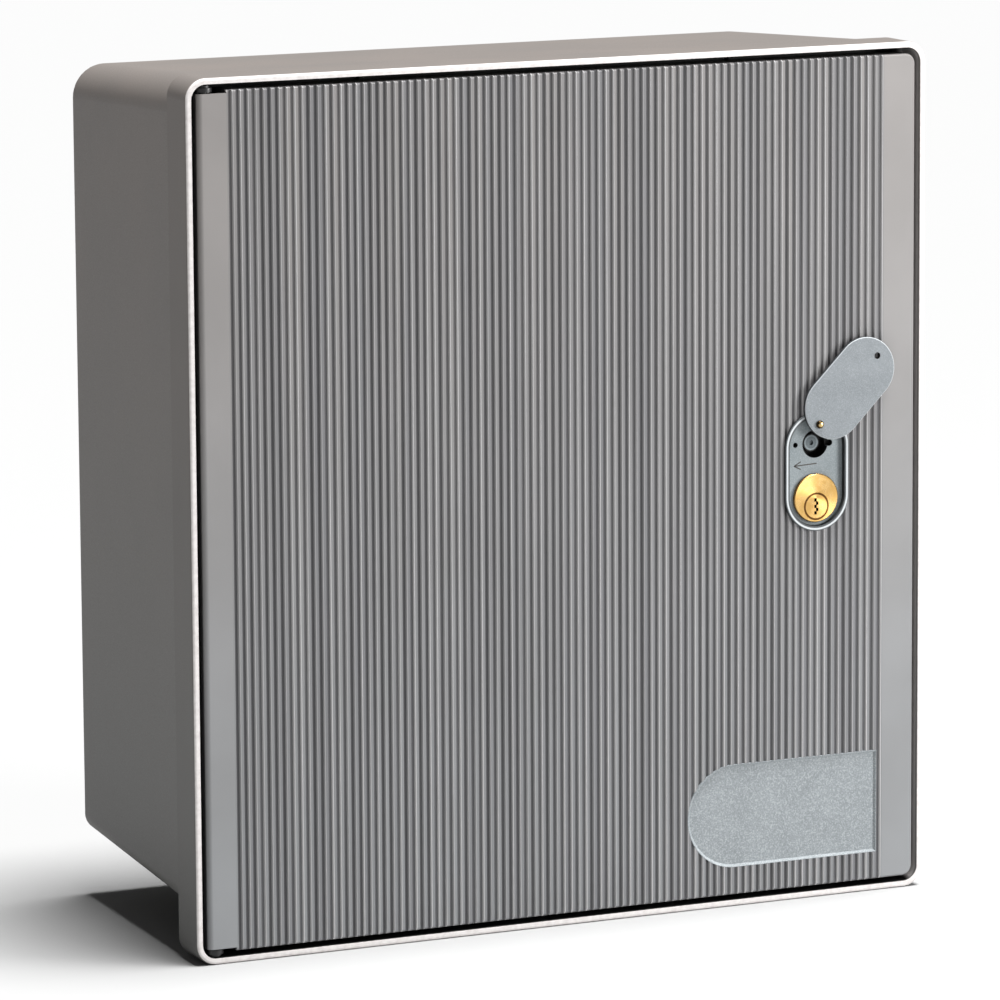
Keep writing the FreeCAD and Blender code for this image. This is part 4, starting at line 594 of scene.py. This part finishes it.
def pad_outline(inset, y):
    """The pad's outline, drawn in by an inset: square on the right, half round on the left."""
    radius = PAD_HEIGHT / 2
    centre_x = PAD_RIGHT - PAD_LENGTH + radius
    centre_z = PAD_LOW + radius
    points = [(PAD_RIGHT - inset, y, PAD_LOW + inset), (PAD_RIGHT - inset, y, PAD_LOW + PAD_HEIGHT - inset)]
    for step in range(ROUND_STEPS + 1):
        angle = math.pi / 2 + math.pi * step / ROUND_STEPS
        points.append((centre_x + (radius - inset) * math.cos(angle), y,
                       centre_z + (radius - inset) * math.sin(angle)))
    return points


def pad_face():
    """A shallow tray that lines the pad's recess and closes the ends of the grooves round it.

    Each level is an inset and a depth: the foot, the crest's two edges and the sunk face.
    """
    levels = [(0.02 * MM, PAD_DEPTH), (0.02 * MM, 0.03 * MM), (0.3 * MM, 0.03 * MM), (1.4 * MM, 0.85 * MM)]
    points = []
    for inset, depth in levels:
        points += pad_outline(inset, FRONT + depth)
    size = len(points) // len(levels)
    faces = []
    for level in range(len(levels) - 1):
        for index in range(size):
            following = (index + 1) % size
            low, high = level * size, (level + 1) * size
            faces.append((low + index, high + index, high + following, low + following))
    faces.append(tuple(range(size)))
    faces.append(tuple(reversed(range((len(levels) - 1) * size, len(levels) * size))))
    new_piece("pad_face", points, faces, PAD_PAINT, "door")


STROKE_WIDTH = 0.55 * MM
STROKE_HEIGHT = 0.04 * MM


def stroke(start, end):
    """The corners and faces of a thin bar laid on the lock plate between two places."""
    along = (Vector((end[0], 0, end[1])) - Vector((start[0], 0, start[1]))).normalized()
    across = Vector((-along.z, 0, along.x)) * STROKE_WIDTH / 2
    corners = []
    for level in (LOCK_FLOOR, LOCK_FLOOR - STROKE_HEIGHT):
        for place, side in ((start, 1), (start, -1), (end, -1), (end, 1)):
            corners.append(Vector((place[0], level, place[1])) + across * side)
    faces = [(3, 2, 1, 0), (4, 5, 6, 7), (0, 1, 5, 4), (1, 2, 6, 5), (2, 3, 7, 6), (3, 0, 4, 7)]
    return corners, faces


def turning_arrow():
    """The thin arrow between the key hole and the cylinder, which points to the left."""
    z = (SPINDLE.z + HEAD.z) / 2 + 3.2 * MM
    tip = (LOCK_X - 11.2 * MM, z - 0.3 * MM)
    tail = (LOCK_X + 0.9 * MM, z + 0.3 * MM)
    barb = 3.6 * MM
    points, faces = [], []
    for start, end in ((tail, tip),
                       (tip, (tip[0] + barb, tip[1] + 0.55 * barb)),
                       (tip, (tip[0] + barb, tip[1] - 0.5 * barb))):
        corners, sides = stroke(start, end)
        faces += [tuple(len(points) + corner for corner in side) for side in sides]
        points += corners
    new_piece("turning_arrow", points, faces, MARK_BROWN, "door")


pad_face()
turning_arrow()


# Stage: floor, lights and camera

STUDIO_MIDDLE = Vector((0.0, -0.08, -0.01))
FLOOR_HALF = 60.0
FLOOR_GREY = (0.34, 0.34, 0.34, 1.0)
WHITE = (1.0, 1.0, 1.0, 1.0)

# The camera's place, its turns about X, Y and Z in degrees, and its lens on a sensor 36 mm wide
EYE_PLACE = (-1.287586, -2.864333, 0.490888)
EYE_TURNS = (80.4308, 0.3491, -24.9578)
EYE_LENS = 233.16


def floor():
    """A plain pale floor under the box."""
    mesh = bpy.data.meshes.new("floor")
    sides = ((-1, -1), (1, -1), (1, 1), (-1, 1))
    corners = [(x * FLOOR_HALF, y * FLOOR_HALF, case_low.z) for x, y in sides]
    mesh.from_pydata(corners, [], [(0, 1, 2, 3)])
    piece = bpy.data.objects.new("floor", mesh)
    bpy.context.scene.collection.objects.link(piece)
    finish = Finish("pale_floor", roughness=0.9)
    finish.shader.inputs["Base Color"].default_value = FLOOR_GREY
    finish.shader.inputs["Specular IOR Level"].default_value = 0.0
    mesh.materials.append(finish.material)


def aim(lamp, place):
    """Put a lamp at a place and turn it to the middle of the box."""
    lamp.location = place
    lamp.rotation_euler = (STUDIO_MIDDLE - Vector(place)).to_track_quat("-Z", "Y").to_euler()
    bpy.context.scene.collection.objects.link(lamp)


def softbox(name, place, size, power):
    """A rectangular area light that faces the middle of the box and doesn't show itself."""
    light = bpy.data.lights.new(name, "AREA")
    light.shape = "RECTANGLE"
    light.size, light.size_y = size
    light.energy = power
    lamp = bpy.data.objects.new(name, light)
    lamp.visible_camera = False
    aim(lamp, place)


def broad_light(name, place, strength, spread):
    """An even light from far off that comes from one direction, softened by its spread in degrees."""
    light = bpy.data.lights.new(name, "SUN")
    light.energy = strength
    light.angle = math.radians(spread)
    aim(bpy.data.objects.new(name, light), place)


def studio():
    """A faint even world light, a broad light from above and a weaker one from the front right."""
    world = bpy.data.worlds.new("studio")
    world.use_nodes = True
    background = world.node_tree.nodes["Background"]
    background.inputs["Color"].default_value = WHITE
    background.inputs["Strength"].default_value = 0.1
    bpy.context.scene.world = world
    broad_light("overhead", (0.45, -0.3, 3.0), strength=8.8, spread=24)
    softbox("front_right", (1.1, -1.0, 0.3), size=(0.5, 0.8), power=20)


def camera():
    """The camera that sees the box as the photograph does."""
    eye = bpy.data.objects.new("camera", bpy.data.cameras.new("camera"))
    eye.data.sensor_width = 36.0
    eye.data.lens = EYE_LENS
    eye.data.clip_end = 100.0
    eye.location = EYE_PLACE
    eye.rotation_euler = [math.radians(angle) for angle in EYE_TURNS]
    bpy.context.scene.collection.objects.link(eye)
    bpy.context.scene.camera = eye


floor()
studio()
camera()
bpy.context.scene.view_settings.view_transform = "Standard"
